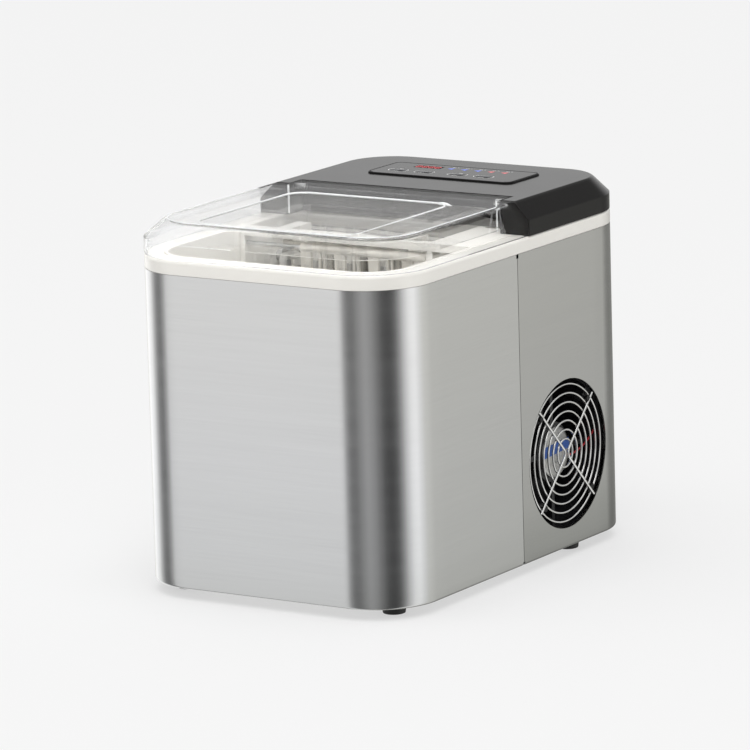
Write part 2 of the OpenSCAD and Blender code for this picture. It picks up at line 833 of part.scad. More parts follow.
// Windows of the basket's walls, drain holes of its floor, and two finger slots at the back
window_w = 24;
window_pitch = 42;
window_z = [12, 18];
side_windows_y = 34;
drain_w = 6;
drain_pitch = 18;
drains_y = 16;
finger_slot_x = [25, 65];
finger_slot_z = [12, 5];
module ice_basket() {
    z0 = step_z + fit;
    z1 = z0 + basket_h;
    windows = [z0 + window_z[0], z1 - window_z[1]];
    color("#e9ecec") difference() {
        basket_plan(0, [z0, z1]);
        basket_plan(basket_t, [z0 + basket_t, z1 + eps]);
        for (i = [-1:1]) let (x = window_pitch * i - window_w / 2)
            block([x, x + window_w], [-body_d, body_d], windows);
        for (i = [0:1]) let (y = basket_y0 + side_windows_y + window_pitch * i)
            block([-body_w, body_w], [y, y + window_w], windows);
        for (i = [-4:4], j = [0:4])
            let (x = drain_pitch * i - drain_w / 2, y = basket_y0 + drains_y + drain_pitch * j)
                block([x, x + drain_w], [y, y + drain_w], [z0 - eps, z0 + basket_t + eps]);
        both_sides() block(finger_slot_x, [basket_y1 - basket_t - eps, body_d],
            [z1 - finger_slot_z[0], z1 - finger_slot_z[1]]);
    }
}

// ---------------------------------------------------------------- mechanism

left_cheek = [frame_x[0], frame_x[0] + cheek_t];
right_cheek = [tray_x1 + cheek_gap, tray_x1 + cheek_gap + cheek_t];
frame_y = [shovel_y - rail_d / 2, tank_back - liner_t - fit];
rail_h = 6;
deck_t = 3;
blind = 1;

// Hangers that carry the evaporator under the front rail
hanger_x = [tray_x0 + 26, tray_x1 - 26];
hanger_y = tray_y - 14;
hanger_w = 12;
hanger_d = [5, 3];
hanger_screw_r = 1.5;
tube_gate = 16;

module mechanism_frame() {
    color("#efede6") difference() {
        union() {
            for (x = [left_cheek, right_cheek]) block(x, frame_y, [shelf_z, deck_z]);
            block([right_cheek[0], frame_x[1]], frame_y, [deck_z - deck_t, deck_z]);
            block(frame_x, [frame_y[0], frame_y[0] + rail_d], [deck_z - rail_h, deck_z]);
            for (c = hanger_x) {
                x = [c - hanger_w / 2, c + hanger_w / 2];
                y1 = hanger_y + hanger_d[1];
                block(x, [frame_y[0] + rail_d - eps, y1], [deck_z - rail_h, deck_z]);
                block(x, [hanger_y - hanger_d[0], y1], [plate_z0 + plate_t, deck_z]);
            }
        }
        rod_x([left_cheek[0] - eps, left_cheek[1] + eps], tray_y, tray_z, tray_pin_r + run);
        rod_x([right_cheek[0] - eps, right_cheek[1] + eps], tray_y, tray_z, tray_pin_r + run);
        rod_x([left_cheek[0] + blind, left_cheek[1] + eps], shovel_y, shovel_z, shovel_pin_r + run);
        rod_x([right_cheek[0] - eps, right_cheek[1] - blind], shovel_y, shovel_z, shovel_pin_r + run);
        for (x = hanger_x) rod_z([0, deck_z - deck_t], x, hanger_y, hanger_screw_r);
        block(pipe_notch, [frame_y[1] - tube_gate, frame_y[1] + eps],
            [deck_z - deck_t - eps, deck_z + eps]);
        block([right_cheek[0] - eps, right_cheek[1] + eps], [tray_y - tube_gate, tray_y + tube_gate],
            [notch_z, et_z + et_r + 3]);
    }
}

module finger_places() {
    for (i = [-2:2]) translate([tray_cx + i * finger_pitch, tray_y - row_pitch / 2, 0]) children();
    for (i = [-2:1]) translate([tray_cx + (i + 0.5) * finger_pitch, tray_y + row_pitch / 2, 0])
        children();
}

plate_in = [10, 8];
plate_d = 34;
module evaporator() {
    color("#b7bbbf") difference() {
        union() {
            block([tray_x0 + plate_in[0], tray_x1 - plate_in[1]],
                [tray_y - plate_d / 2, tray_y + plate_d / 2], [plate_z0, plate_z0 + plate_t]);
            finger_places() {
                rod_z([plate_z0 - finger_l + finger_r, plate_z0 + eps], 0, 0, finger_r);
                translate([0, 0, plate_z0 - finger_l + finger_r]) sphere(finger_r);
            }
        }
        for (x = hanger_x) rod_z([plate_z0 - eps, plate_z0 + plate_t + eps], x, hanger_y, hanger_screw_r);
    }
}

// A tube bent back on itself along the top of the evaporator plate
et_r = 3.5;
et_z = plate_z0 + plate_t + et_r;
et_y = 7;
et_x0 = tray_x0 + 24;
socket = 2;
module evaporator_tube() {
    color("#c1774a") {
        rod_x([et_x0, gas_x - socket], tray_y - et_y, et_z, et_r);
        rod_x([et_x0, suction_x - socket], tray_y + et_y, et_z, et_r);
        translate([et_x0, tray_y, et_z]) rotate([0, 0, 90])
            rotate_extrude(angle = 180) translate([et_y, 0]) circle(et_r);
    }
}

module evaporator_screws() {
    color("#b9bcc0") for (x = hanger_x)
        screw_up(x, hanger_y, plate_z0, deck_z - deck_t - blind - plate_z0, hanger_screw_r);
}

tray_mouth = 9;
tray_boss_r = 8;
module water_tray() {
    color("#e4e6e6") difference() {
        union() {
            difference() {
                rod_x([tray_x0, tray_x1], tray_y, tray_z, tray_r);
                rod_x([tray_x0 + tray_t, tray_x1 - tray_t], tray_y, tray_z, tray_r - tray_t);
                block([-body_w, body_w], [-body_d, body_d], [tray_z - tray_mouth, 2 * tray_z]);
            }
            for (x = [[tray_x0, tray_x0 + tray_t], [tray_x1 - tray_t, tray_x1]]) {
                block(x, [tray_y - tray_boss_r, tray_y + tray_boss_r], [tray_z - tray_mouth - 1, tray_z]);
                rod_x(x, tray_y, tray_z, tray_boss_r);
            }
        }
        rod_x([-body_w, body_w], tray_y, tray_z, tray_pin_r);
    }
}

motor_depth = 8;
module tray_shaft() {
    color("#c9ccd0") {
        rod_x([left_cheek[0] + eps, tray_x0 + tray_t], tray_y, tray_z, tray_pin_r);
        rod_x([tray_x1 - tray_t, right_cheek[1] + motor_depth], tray_y, tray_z, tray_pin_r);
    }
}

gearbox_t = 13;
gearbox_r = 19;
gear_can_r = 15;
gear_drop = 4;
module tray_motor() {
    color("#a9aeb3") difference() {
        union() {
            rod_x([right_cheek[1], right_cheek[1] + gearbox_t], tray_y, tray_z - gear_drop, gearbox_r);
            rod_x([right_cheek[1] + gearbox_t, frame_x[1] - 2], tray_y, tray_z - gear_drop, gear_can_r);
        }
        rod_x([right_cheek[1] - eps, right_cheek[1] + motor_depth + 1], tray_y, tray_z, tray_pin_r + run);
    }
}

// The comb that pushes the ice forward: wide teeth with a pair of thin ones after each
comb_hub_r = 3.4;
tooth_t = 3;
thin_t = 2;
thin_x = [11, 15];
shovel_x = [tray_cx - finger_pitch - 4, right_cheek[0] - 1];
teeth = [for (i = [-1:2]) tray_cx + i * finger_pitch];
module ice_shovel() {
    color("#f0ece2") difference() {
        union() {
            rod_x(shovel_x, shovel_y, shovel_z, comb_hub_r);
            for (x = teeth) {
                block([x - tooth_w / 2, x + tooth_w / 2], [shovel_y - tooth_t / 2, shovel_y + tooth_t / 2],
                    [shovel_z - tooth_l, shovel_z - 1]);
                for (c = thin_x) block([x + c, x + c + thin_t],
                    [shovel_y - thin_t / 2, shovel_y + thin_t / 2], [shovel_z - tooth_l, shovel_z - 1]);
            }
        }
        rod_x([-body_w, body_w], shovel_y, shovel_z, shovel_pin_r);
    }
}

module shovel_shaft() {
    color("#c9ccd0") rod_x([left_cheek[0] + blind + fit, right_cheek[1] - blind - fit],
        shovel_y, shovel_z, shovel_pin_r);
}

pump_x = 40;
pump_r = 15;
pump_y = well_back - step_w - liner_t - pump_r - 2.5;
pump_z = tank_z + liner_t;
pump_h = [26, 30, 38];
pump_cap_r = 11;
module water_pump() {
    color("#34373b") {
        rod_z([pump_z, pump_z + pump_h[0]], pump_x, pump_y, pump_r);
        rod_z([pump_z + pump_h[0], pump_z + pump_h[1]], pump_x, pump_y, pump_cap_r);
        rod_z([pump_z + pump_h[1], pump_z + pump_h[2]], pump_x, pump_y, hose_r);
    }
}

hose_r = 3;
hose_x = -68;
hose_y = tray_y - tray_r - hose_r - 1.4;
hose_path = [[pump_x, pump_y, pump_z + pump_h[2]], [pump_x, pump_y, 84], [pump_x - 12, -30, 104],
    [hose_x + 14, -28, 112], [hose_x, -27, 130], [hose_x - 4, hose_y, tray_z - 58],
    [hose_x + 2, hose_y, tray_z - 28], [hose_x, hose_y, tray_z + 8], [hose_x, tray_y - 18, tray_z + 6],
    [hose_x, tray_y - 20, tray_z - 2]];
module water_tube() {
    color("#e8e8e6") sweep(rounded(hose_path, 4), hose_r);
}

module ice_sensor() {
    color("#232326") both_sides()
        rod_x([tank_x - liner_t, tank_x + sensor_l], sensor_y, sensor_z, sensor_r);
}

cap_l = 12;
cap_r = 13;
cap_t = 2;
seal_t = 2;
wing = [20, 5, 4];
module drain_cap() {
    head = pan_z0 - seal_t - cap_t;
    color("#e4e2dc") {
        rod_z([pan_z0 - seal_t, pan_z0 + cap_l], 0, drain_y, spout_r - run);
        rod_z([head, pan_z0 - seal_t], 0, drain_y, cap_r);
        block([-wing[0] / 2, wing[0] / 2], [drain_y - wing[1] / 2, drain_y + wing[1] / 2],
            [head - wing[2], head + eps]);
    }
}

module drain_seal() {
    color("#2b2b2c") difference() {
        rod_z([pan_z0 - seal_t, pan_z0], 0, drain_y, spout_r + spout_wall);
        rod_z([0, tank_z], 0, drain_y, spout_r);
    }
}

// ---------------------------------------------------------------- fan side

// A torus about the fan's axis
module guard_ring(r, x, wire) {
    translate([x, fan_y, fan_z]) rotate([0, 90, 0])
        rotate_extrude() translate([r, 0]) circle(wire, $fn = 16);
}

brace_x = guard_x - 1.7 * wire_r;
brace_bend = 3.5;
clamp_r = guard_r0 + 5.5 * guard_pitch;
clamp_turn = 2.8;
clamp_pin_r = 1.3;
clamp_head_r = 2.3;
clamp_depth = 6;
pad_r = 4;
module fan_guard() {
    reach = (duct_r - 1) * cos(45);
    color("#c6c8ca") {
        for (i = [0:guard_rings - 1]) guard_ring(guard_r0 + i * guard_pitch, guard_x, wire_r);
        for (s = [-1, 1])
            sweep(rounded([[brace_x, fan_y + s * reach, fan_z + reach],
                [brace_x, fan_y + s * brace_bend, fan_z],
                [brace_x, fan_y + s * reach, fan_z - reach]], 12), wire_r);
    }
}

// Places beside the four arms of the guard, turned about the fan's axis
module clamp_places() {
    for (a = [45:90:315]) translate([0, fan_y, fan_z]) rotate([a + clamp_turn, 0, 0]) children();
}

module guard_screws() {
    color("#b9bcc0") clamp_places() {
        rod_x([shroud_x1 - clamp_depth, brace_x + wire_r + eps], clamp_r, 0, clamp_pin_r);
        rod_x([brace_x + wire_r, side_x - eps], clamp_r, 0, clamp_head_r);
    }
}

// A round duct with a flange against the condenser, a spider for the motor, and four pads
spider_t = 3;
spider_w = 4;
module fan_shroud() {
    color("#1e1f20") difference() {
        union() {
            rod_x([shroud_x0, shroud_x1], fan_y, fan_z, duct_r + duct_t);
            block([shroud_x0, shroud_x0 + duct_t], condenser_y, [condenser_z[0], condenser_z[1]]);
        }
        difference() {
            rod_x([shroud_x0 - eps, shroud_x1 + eps], fan_y, fan_z, duct_r);
            rod_x(spider_x, fan_y, fan_z, motor_r + spider_t);
            for (a = [0, 90]) translate([0, fan_y, fan_z]) rotate([a, 0, 0])
                block(spider_x, [-duct_r - 1, duct_r + 1], [-spider_w / 2, spider_w / 2]);
            clamp_places() {
                rod_x([shroud_x1 - clamp_depth - 2, shroud_x1], clamp_r, 0, pad_r);
                block([shroud_x1 - clamp_depth - 2, shroud_x1], [clamp_r, duct_r + 1], [-pad_r, pad_r]);
            }
        }
        rod_x([spider_x[0] - eps, spider_x[1] + eps], fan_y, fan_z, motor_r);
        clamp_places() rod_x([shroud_x1 - clamp_depth, shroud_x1 + eps], clamp_r, 0, clamp_pin_r);
    }
}

fan_pin_r = 1.5;
fan_pin_l = 7;
nose = 2;
module fan_motor() {
    color("#c3c5c7") difference() {
        union() {
            rod_x([motor_x[0] + nose, motor_x[1]], fan_y, fan_z, motor_r);
            rod_x([motor_x[0], motor_x[0] + nose], fan_y, fan_z, 4 * fan_pin_r);
        }
        rod_x([motor_x[0] - eps, motor_x[0] + fan_pin_l + 1], fan_y, fan_z, fan_pin_r + run);
    }
}

fan_hub_r = 17;
fan_face = 3;
blade_t = 2;
blade_w = 32;
blade_turn = 36;
module fan_shaft() {
    color("#c9ccd0") rod_x([fan_x[0] + fan_face, motor_x[0] + fan_pin_l], fan_y, fan_z, fan_pin_r);
}

module fan_impeller() {
    mid = (fan_x[0] + fan_x[1]) / 2;
    color("#2b2d2f") difference() {
        union() {
            rod_x(fan_x, fan_y, fan_z, fan_hub_r);
            intersection() {
                rod_x(fan_x, fan_y, fan_z, blade_r);
                for (i = [0:blades - 1]) translate([mid, fan_y, fan_z]) rotate([i * 360 / blades, 0, 0])
                    rotate([0, 0, blade_turn])
                    block([-blade_t / 2, blade_t / 2], [-blade_w / 2, blade_w / 2],
                        [fan_hub_r - fan_face, blade_r + 2]);
            }
        }
        rod_x([fan_x[0] + fan_face, fan_x[1] + eps], fan_y, fan_z, fan_pin_r);
    }
}

lead_r = 0.9;
module fan_lead() {
    arm_x = spider_x[1] + lead_r + fit;
    color("#a3161a") sweep(rounded([[motor_x[1] + lead_r, fan_y + 6, fan_z - 6],
        [motor_x[1] + lead_r + fit, fan_y + 16, fan_z - 18], [arm_x, fan_y + 26, fan_z - 30],
        [arm_x, fan_y + 34, fan_z - 39]], 4), lead_r, 8);
}

// ---------------------------------------------------------------- cooling circuit

tube_rows = 6;
tube_edge = 11;
tube_pitch = (condenser_z[1] - condenser_z[0] - 2 * tube_edge) / (tube_rows - 1);
tube_z0 = condenser_z[0] + tube_edge;
condenser_mid = (condenser_x[0] + condenser_x[1]) / 2;
fin_t = 0.6;
end_t = 1;
module condenser_fins() {
    step = (condenser_y[1] - condenser_y[0] - fin_t) / (fins - 1);
    color("#a9acae") {
        for (i = [0:fins - 1]) block(condenser_x,
            [condenser_y[0] + i * step, condenser_y[0] + i * step + fin_t], condenser_z);
        for (z = [condenser_z[0], condenser_z[1] - end_t]) block(condenser_x, condenser_y, [z, z + end_t]);
    }
}

bend_reach = 4;
module condenser_tube() {
    y0 = condenser_y[0] - 1;
    y1 = condenser_y[1] + bend_reach;
    color("#c1774a") {
        for (i = [0:tube_rows - 1])
            rod_y([y0, y1], condenser_mid, tube_z0 + i * tube_pitch, tube_r);
        for (i = [0:2:tube_rows - 2]) hairpin(y1, i, 1);
        for (i = [1:2:tube_rows - 3]) hairpin(y0, i, -1);
    }
}
module hairpin(y, i, way) {
    translate([condenser_mid, y, tube_z0 + (i + 0.5) * tube_pitch]) rotate([0, 90, 0])
        rotate([0, 0, way > 0 ? 0 : 180])
            rotate_extrude(angle = 180) translate([tube_pitch / 2, 0]) circle(tube_r);
}

// A sealed can with a domed top, a foot plate, and a relay box on its front
dome = 16;
can_foot_t = 3;
can_foot_z = can_z - 8;
can_neck = 8;
relay_x = 14;
relay_d = [10, 12];
relay_z = [can_z + 30, can_z + 66];
module compressor() {
    foot = [-can_foot - grommet_r, can_foot + grommet_r];
    color("#202123") translate([can_x, can_y, 0]) {
        rod_z([can_z, can_z + can_h - dome], 0, 0, can_r);
        rotate_extrude() intersection() {
            translate([0, can_z + can_h - dome]) dome_arc();
            translate([0, can_z + can_h - dome - eps]) square([can_r, 2 * dome]);
        }
        rod_z([can_foot_z, can_z + eps], 0, 0, can_r - can_neck);
        difference() {
            block(foot, foot, [can_foot_z, can_foot_z + can_foot_t]);
            for (f = can_feet) rod_z([0, can_z], f[0], f[1], bolt_r + fit);
        }
        block([-relay_x, relay_x], [-can_r - relay_d[0], -can_r + relay_d[1]], relay_z);
    }
}

// A circle whose top cap is as wide as the can and as high as its dome
module dome_arc() {
    bulge = (can_r * can_r + dome * dome) / (2 * dome);
    translate([0, dome - bulge]) circle(bulge, $fn = 96);
}

module compressor_grommets() {
    color("#2a2a2b") for (f = can_feet) translate([can_x + f[0], can_y + f[1], 0]) difference() {
        rod_z([pan_z1, can_foot_z], 0, 0, grommet_r);
        rod_z([0, can_z], 0, 0, bolt_r + hole_gap);
    }
}

bolt_head = 3;
module compressor_bolts() {
    top = can_foot_z + can_foot_t;
    color("#b9bcc0") for (f = can_feet) translate([can_x + f[0], can_y + f[1], 0]) {
        rod_z([pan_z0 + eps, top + eps], 0, 0, bolt_r);
        rod_z([top, top + bolt_head], 0, 0, 1.7 * bolt_r);
    }
}

drier_x = condenser_x[0] - 20.7;
drier_y = condenser_y[0] - 4;
over_z = shelf_z - 34;
drier_z = [over_z - 92, over_z - 32];
drier_r = 8;
drier_neck = 3;
module filter_drier() {
    color("#b87333") translate([drier_x, drier_y, 0]) {
        rod_z([drier_z[0] + drier_r, drier_z[1] - drier_r], 0, 0, drier_r);
        translate([0, 0, drier_z[1] - drier_r]) cylinder(h = drier_r, r1 = drier_r, r2 = drier_neck);
        translate([0, 0, drier_z[0]]) cylinder(h = drier_r, r1 = drier_neck, r2 = drier_r);
    }
}

valve_x = 18;
pipe_y = tank_back + 18;
valve_y = pipe_y + 4;
valve_z = condenser_z[1] + 17;
coil_side = 24;
valve_stem = [valve_z - 22, valve_z + 16];
valve_r = 5;
module gas_valve() {
    half = coil_side / 2;
    color("#30343a") {
        block([valve_x - half, valve_x + half], [valve_y - half, valve_y + half],
            [valve_z - half, valve_z + half]);
        rod_z(valve_stem, valve_x, valve_y, valve_r);
    }
}

// Pipes of the cooling circuit
pipe_r = 3;
gas_r = 2.4;
can_port = 20;
can_top = can_z + can_h - 7;
port_y = condenser_y[0] - 7;
port_end = condenser_y[0] - 0.4;
port_bend = 4.6;
tee = [can_x + 50, can_y - 50, over_z + 6];
module discharge_pipe() {
    top = tube_z0 + (tube_rows - 1) * tube_pitch;
    color("#c1774a") sweep(rounded([[can_x + can_port, can_y - can_port, can_top],
        [can_x + can_port, can_y - can_port, can_top + 15], tee,
        [condenser_x[0] - 12.7, condenser_y[0] + 6, over_z + 4], [condenser_mid, port_y, over_z + 1],
        [condenser_mid, port_y, top], [condenser_mid, port_end, top]], port_bend), pipe_r);
}

module liquid_line() {
    color("#c1774a") sweep(rounded([[condenser_mid, port_end, tube_z0], [condenser_mid, port_y, tube_z0],
        [drier_x, drier_y, tube_z0 + 4], [drier_x, drier_y, drier_z[0] + 1]], port_bend), gas_r, 8);
}

module suction_pipe() {
    color("#c1774a") sweep(rounded([[can_x - can_port, can_y + can_port, can_top],
        [can_x - can_port, can_y + can_port, can_top + 19], [can_x + 10, can_y + 14, can_top + 25],
        [valve_x + 22, pipe_y + 40, can_top + 29], [suction_x - 12, pipe_y + 14, can_top + 45],
        [suction_x, pipe_y, et_z - 41.5], [suction_x, pipe_y, et_z - 2], [suction_x, tank_back + 4, et_z],
        [suction_x, tray_y + et_y, et_z], [suction_x - 3 * socket, tray_y + et_y, et_z]], 5), pipe_r);
}

// The thin tube is coiled between the drier and the evaporator
coil_turns = 3;
coil_r = 12;
coil_rise = 3.6;
coil_x = drier_x + 2;
coil_y = drier_y + 26;
coil_z = drier_z[1] + 16;
capillary_r = 1.2;
module capillary_tube() {
    coil = [for (i = [0:12 * coil_turns]) [coil_x + coil_r * cos(i * 30 - 60),
        coil_y + coil_r * sin(i * 30 - 60), coil_z + i * coil_rise / 12]];
    exit_z = coil_z + coil_rise * coil_turns;
    color("#c98352") sweep(concat(
        [[drier_x, drier_y, drier_z[1] - 1], [drier_x, drier_y, coil_z - 8],
            [drier_x + 3, drier_y + 6, coil_z - 3]], coil,
        rounded([[coil_x + coil_r, coil_y - 2, exit_z + 1], [coil_x + 24, coil_y + 20, exit_z + 12],
            [capillary_x, pipe_y, et_z - 47.5], [capillary_x, pipe_y, et_z - 2],
            [capillary_x, tank_back + 6, et_z],
            [capillary_x, tray_y - et_y + socket, et_z]], 5)), capillary_r, 8);
}

module hot_gas_pipe() {
    color("#c1774a") {
        sweep(rounded([tee, [valve_x - 8, valve_y - 14, valve_stem[0] + 4],
            [valve_x, valve_y, valve_stem[0] - 6],
            [valve_x, valve_y, valve_stem[0] + 1]], 5), gas_r, 8);
        sweep(rounded([[valve_x, valve_y, valve_stem[1] - 1], [valve_x, valve_y, valve_stem[1] + 16],
            [valve_x + 14, valve_y + 2, et_z - 21.5], [suction_x + 2, pipe_y + 9, et_z - 13.5],
            [gas_x, pipe_y, et_z - 9.5], [gas_x, pipe_y, et_z - 2], [gas_x, tank_back + 6, et_z],
            [gas_x, tray_y - et_y, et_z], [gas_x - 2 * socket, tray_y - et_y, et_z]], 3), gas_r, 8);
    }
}

// ---------------------------------------------------------------- cord inlet

cup_t = 2;
cup_flange = 3;
gland_r = 4;
gland_t = 2.9;
gland_nut = 5;
gland_out = 6;
cup_cx = (cup_x[0] + cup_x[1]) / 2;
cup_cz = (cup_z[0] + cup_z[1]) / 2;
module inlet_cup() {
    color("#232324") difference() {
        union() {
            block([cup_x[0] + fit, cup_x[1] - fit], [in_y - cup_depth, body_d / 2 - 0.2],
                [cup_z[0] + fit, cup_z[1] - fit]);
            block([cup_x[0] - cup_flange, cup_x[1] + cup_flange], [in_y - cup_t, in_y - 0.05],
                [cup_z[0] - cup_flange, cup_z[1] + cup_flange]);
        }
        block([cup_x[0] + cup_t, cup_x[1] - cup_t], [in_y - cup_depth + cup_t, body_d],
            [cup_z[0] + cup_t, cup_z[1] - cup_t]);
        rod_y([0, body_d], cup_cx, cup_cz, gland_r + gland_t + hole_gap);
    }
}

module cord_gland() {
    color("#17171a") difference() {
        union() {
            rod_y([in_y - cup_depth - gland_out, in_y - cup_depth + cup_t + gland_out],
                cup_cx, cup_cz, gland_r + gland_t);
            rod_y([in_y - cup_depth + cup_t, in_y - cup_depth + 2 * cup_t],
                cup_cx, cup_cz, gland_r + gland_nut);
        }
        rod_y([0, body_d], cup_cx, cup_cz, gland_r);
    }
}

// ---------------------------------------------------------------- assembly

base_pan();
feet();
foot_screws();
front_wrap();
rear_wrap();
seam_strips();
top_rim();
rim_screws();
inner_liner();
foam_insulation();
hood();
control_panel();
button_1();
button_2();
button_3();
button_4();
indicator_lenses();
display_window();
display_board();
board_screws();
main_board();
board_posts();
lid();
lid_pins();
ice_basket();
mechanism_frame();
evaporator();
evaporator_tube();
evaporator_screws();
water_tray();
tray_shaft();
tray_motor();
ice_shovel();
shovel_shaft();
water_pump();
water_tube();
ice_sensor();
drain_cap();
drain_seal();
fan_guard();
guard_screws();
fan_shroud();
fan_motor();
fan_shaft();
fan_impeller();
fan_lead();
condenser_fins();
condenser_tube();
compressor();
compressor_grommets();
compressor_bolts();
filter_drier();
liquid_line();
gas_valve();
discharge_pipe();
suction_pipe();
capillary_tube();
hot_gas_pipe();
inlet_cup();
cord_gland();
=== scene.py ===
import math
import bmesh
import bpy
import numpy as np
from mathutils import Matrix, Vector


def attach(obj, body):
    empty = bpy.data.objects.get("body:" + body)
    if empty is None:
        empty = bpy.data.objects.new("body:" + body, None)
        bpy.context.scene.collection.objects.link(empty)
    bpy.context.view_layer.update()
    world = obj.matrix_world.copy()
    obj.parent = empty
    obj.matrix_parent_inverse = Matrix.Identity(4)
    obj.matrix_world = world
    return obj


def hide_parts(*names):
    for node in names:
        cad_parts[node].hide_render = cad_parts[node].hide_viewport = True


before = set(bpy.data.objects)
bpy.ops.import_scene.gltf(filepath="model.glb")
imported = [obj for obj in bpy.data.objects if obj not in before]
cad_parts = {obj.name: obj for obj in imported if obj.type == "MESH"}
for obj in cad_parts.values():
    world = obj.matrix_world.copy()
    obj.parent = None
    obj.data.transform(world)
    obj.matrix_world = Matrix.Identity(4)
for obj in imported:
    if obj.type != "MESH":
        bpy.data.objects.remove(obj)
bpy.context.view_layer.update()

mm = 0.001

# Sizes that several pieces share, in millimetres, as in the part's source.
cabinet = {"halfWidth": 120.0, "halfDepth": 175.0, "cornerRadius": 50.0,
           "steelBottom": 8.0, "steelTop": 246.0, "deck": 257.0, "brow": 269.0, "top": 282.0, "topRound": 1.6,
           "shoulderSide": 13.0, "shoulderFront": 20.0, "ledge": 15.7}
earShape = {"innerX": 94.0, "frontY": 18.0, "hoodY": 38.0, "edgeRadius": 4.0, "cornerRound": 0.8}
shellWall = 2.5
browLean = math.tan(math.radians(22.5))


# ---- meshes

def arc(centreX, centreY, radius, startDeg, endDeg, steps):
    # points on a circle between two angles, ends included
    a = np.radians(np.linspace(startDeg, endDeg, steps + 1))
    return np.stack([centreX + radius * np.cos(a), centreY + radius * np.sin(a)], 1)


def fullTurn(steps):
    # evenly spaced angles once round a circle
    return np.linspace(0, 2 * np.pi, steps, endpoint=False)


def roundedLoop(x, y0, y1, r, steps=14):
    # closed outline of a rectangle with round corners, anticlockwise from the front right corner
    return np.concatenate([arc(x - r, y0 + r, r, -90, 0, steps), arc(x - r, y1 - r, r, 0, 90, steps),
                           arc(r - x, y1 - r, r, 90, 180, steps), arc(r - x, y0 + r, r, 180, 270, steps)])


def addMesh(name, points, faces, smoothAngle=30.0):
    # a new piece at the origin, from points in millimetres
    mesh = bpy.data.meshes.new(name)
    mesh.from_pydata((np.asarray(points, float) * mm).tolist(), [], faces)
    mesh.update()
    piece = bpy.data.objects.new(name, mesh)
    bpy.context.scene.collection.objects.link(piece)
    finishFaces(piece, smoothAngle)
    return piece


def finishFaces(piece, smoothAngle=30.0, recalculate=True):
    # merges doubles, turns faces outwards, and shades smooth up to the given edge angle
    if recalculate:
        bm = bmesh.new()
        bm.from_mesh(piece.data)
        bmesh.ops.remove_doubles(bm, verts=bm.verts, dist=1e-6)
        bmesh.ops.dissolve_degenerate(bm, edges=bm.edges, dist=1e-6)
        bmesh.ops.recalc_face_normals(bm, faces=bm.faces)
        bm.to_mesh(piece.data)
        bm.free()
    piece.data.polygons.foreach_set("use_smooth", np.ones(len(piece.data.polygons), bool))
    piece.data.set_sharp_from_angle(angle=math.radians(smoothAngle))


def steadyNormals(piece):
    # keeps large flat faces flat beside their rounded edges
    modifier = piece.modifiers.new("steadyNormals", "WEIGHTED_NORMAL")
    modifier.keep_sharp = True
    modifier.weight = 100
    return piece


def gridFaces(rows, cols, wrapRows=False, wrapCols=False):
    # quads of a grid of points, row by row
    i = np.arange(rows if wrapRows else rows - 1)[:, None]
    j = np.arange(cols if wrapCols else cols - 1)[None, :]
    a = i * cols + j
    b = i * cols + (j + 1) % cols
    c = (i + 1) % rows * cols + (j + 1) % cols
    d = (i + 1) % rows * cols + j
    return np.stack([a, b, c, d], -1).reshape(-1, 4).tolist()


def carried(name, outlines, heights, wrapRows=False, wrapCols=True, capEnds=True, smoothAngle=30.0):
    # a surface through stacked plan outlines: outlines[k] at height heights[k] (one number, or one per point)
    rows, cols = len(outlines), len(outlines[0])
    grid = np.zeros((rows, cols, 3))
    grid[..., :2] = np.stack(outlines)
    grid[..., 2] = np.stack([np.broadcast_to(h, cols) for h in heights])
    faces = gridFaces(rows, cols, wrapRows, wrapCols)
    if capEnds and wrapRows:
        faces += [[k * cols for k in range(rows)], [k * cols + cols - 1 for k in range(rows)]]
    elif capEnds:
        faces += [list(range(cols)), list(range((rows - 1) * cols, rows * cols))]
    return addMesh(name, grid.reshape(-1, 3), faces, smoothAngle)


def tubeAlong(name, path, radius, sides=12, closed=False):
    # a round section carried along a path, turned as little as possible from point to point
    p = np.asarray(path, float)
    t = np.roll(p, -1, 0) - np.roll(p, 1, 0) if closed else np.gradient(p, axis=0)
    t /= np.linalg.norm(t, axis=1)[:, None]
    side = np.zeros_like(p)
    up = np.array([0.0, 0.0, 1.0]) if abs(t[0][2]) < 0.9 else np.array([1.0, 0.0, 0.0])
    for k in range(len(p)):
        up = up - up.dot(t[k]) * t[k]
        up /= np.linalg.norm(up)
        side[k] = up
    other = np.cross(t, side)
    a = fullTurn(sides)
    r = np.broadcast_to(radius, len(p))[:, None, None]
    turn = np.cos(a)[None, :, None] * side[:, None] + np.sin(a)[None, :, None] * other[:, None]
    grid = p[:, None] + r * turn
    faces = gridFaces(len(p), sides, closed, True)
    if not closed:
        faces += [list(range(sides)), list(range((len(p) - 1) * sides, len(p) * sides))]
    return addMesh(name, grid.reshape(-1, 3), faces, 40)


def joined(name, pieces):
    # one object from several, whose origins are all at zero
    bpy.ops.object.select_all(action="DESELECT")
    for piece in pieces:
        piece.select_set(True)
    bpy.context.view_layer.objects.active = pieces[0]
    bpy.ops.object.join()
    pieces[0].name = name
    pieces[0].data.name = name
    return pieces[0]


def boxAround(name, x, y, z):
    # a box from a range on each axis
    corners = [(i, j, k) for i in x for j in y for k in z]
    faces = [[0, 1, 3, 2], [4, 6, 7, 5], [0, 4, 5, 1], [2, 3, 7, 6], [0, 2, 6, 4], [1, 5, 7, 3]]
    return addMesh(name, corners, faces)


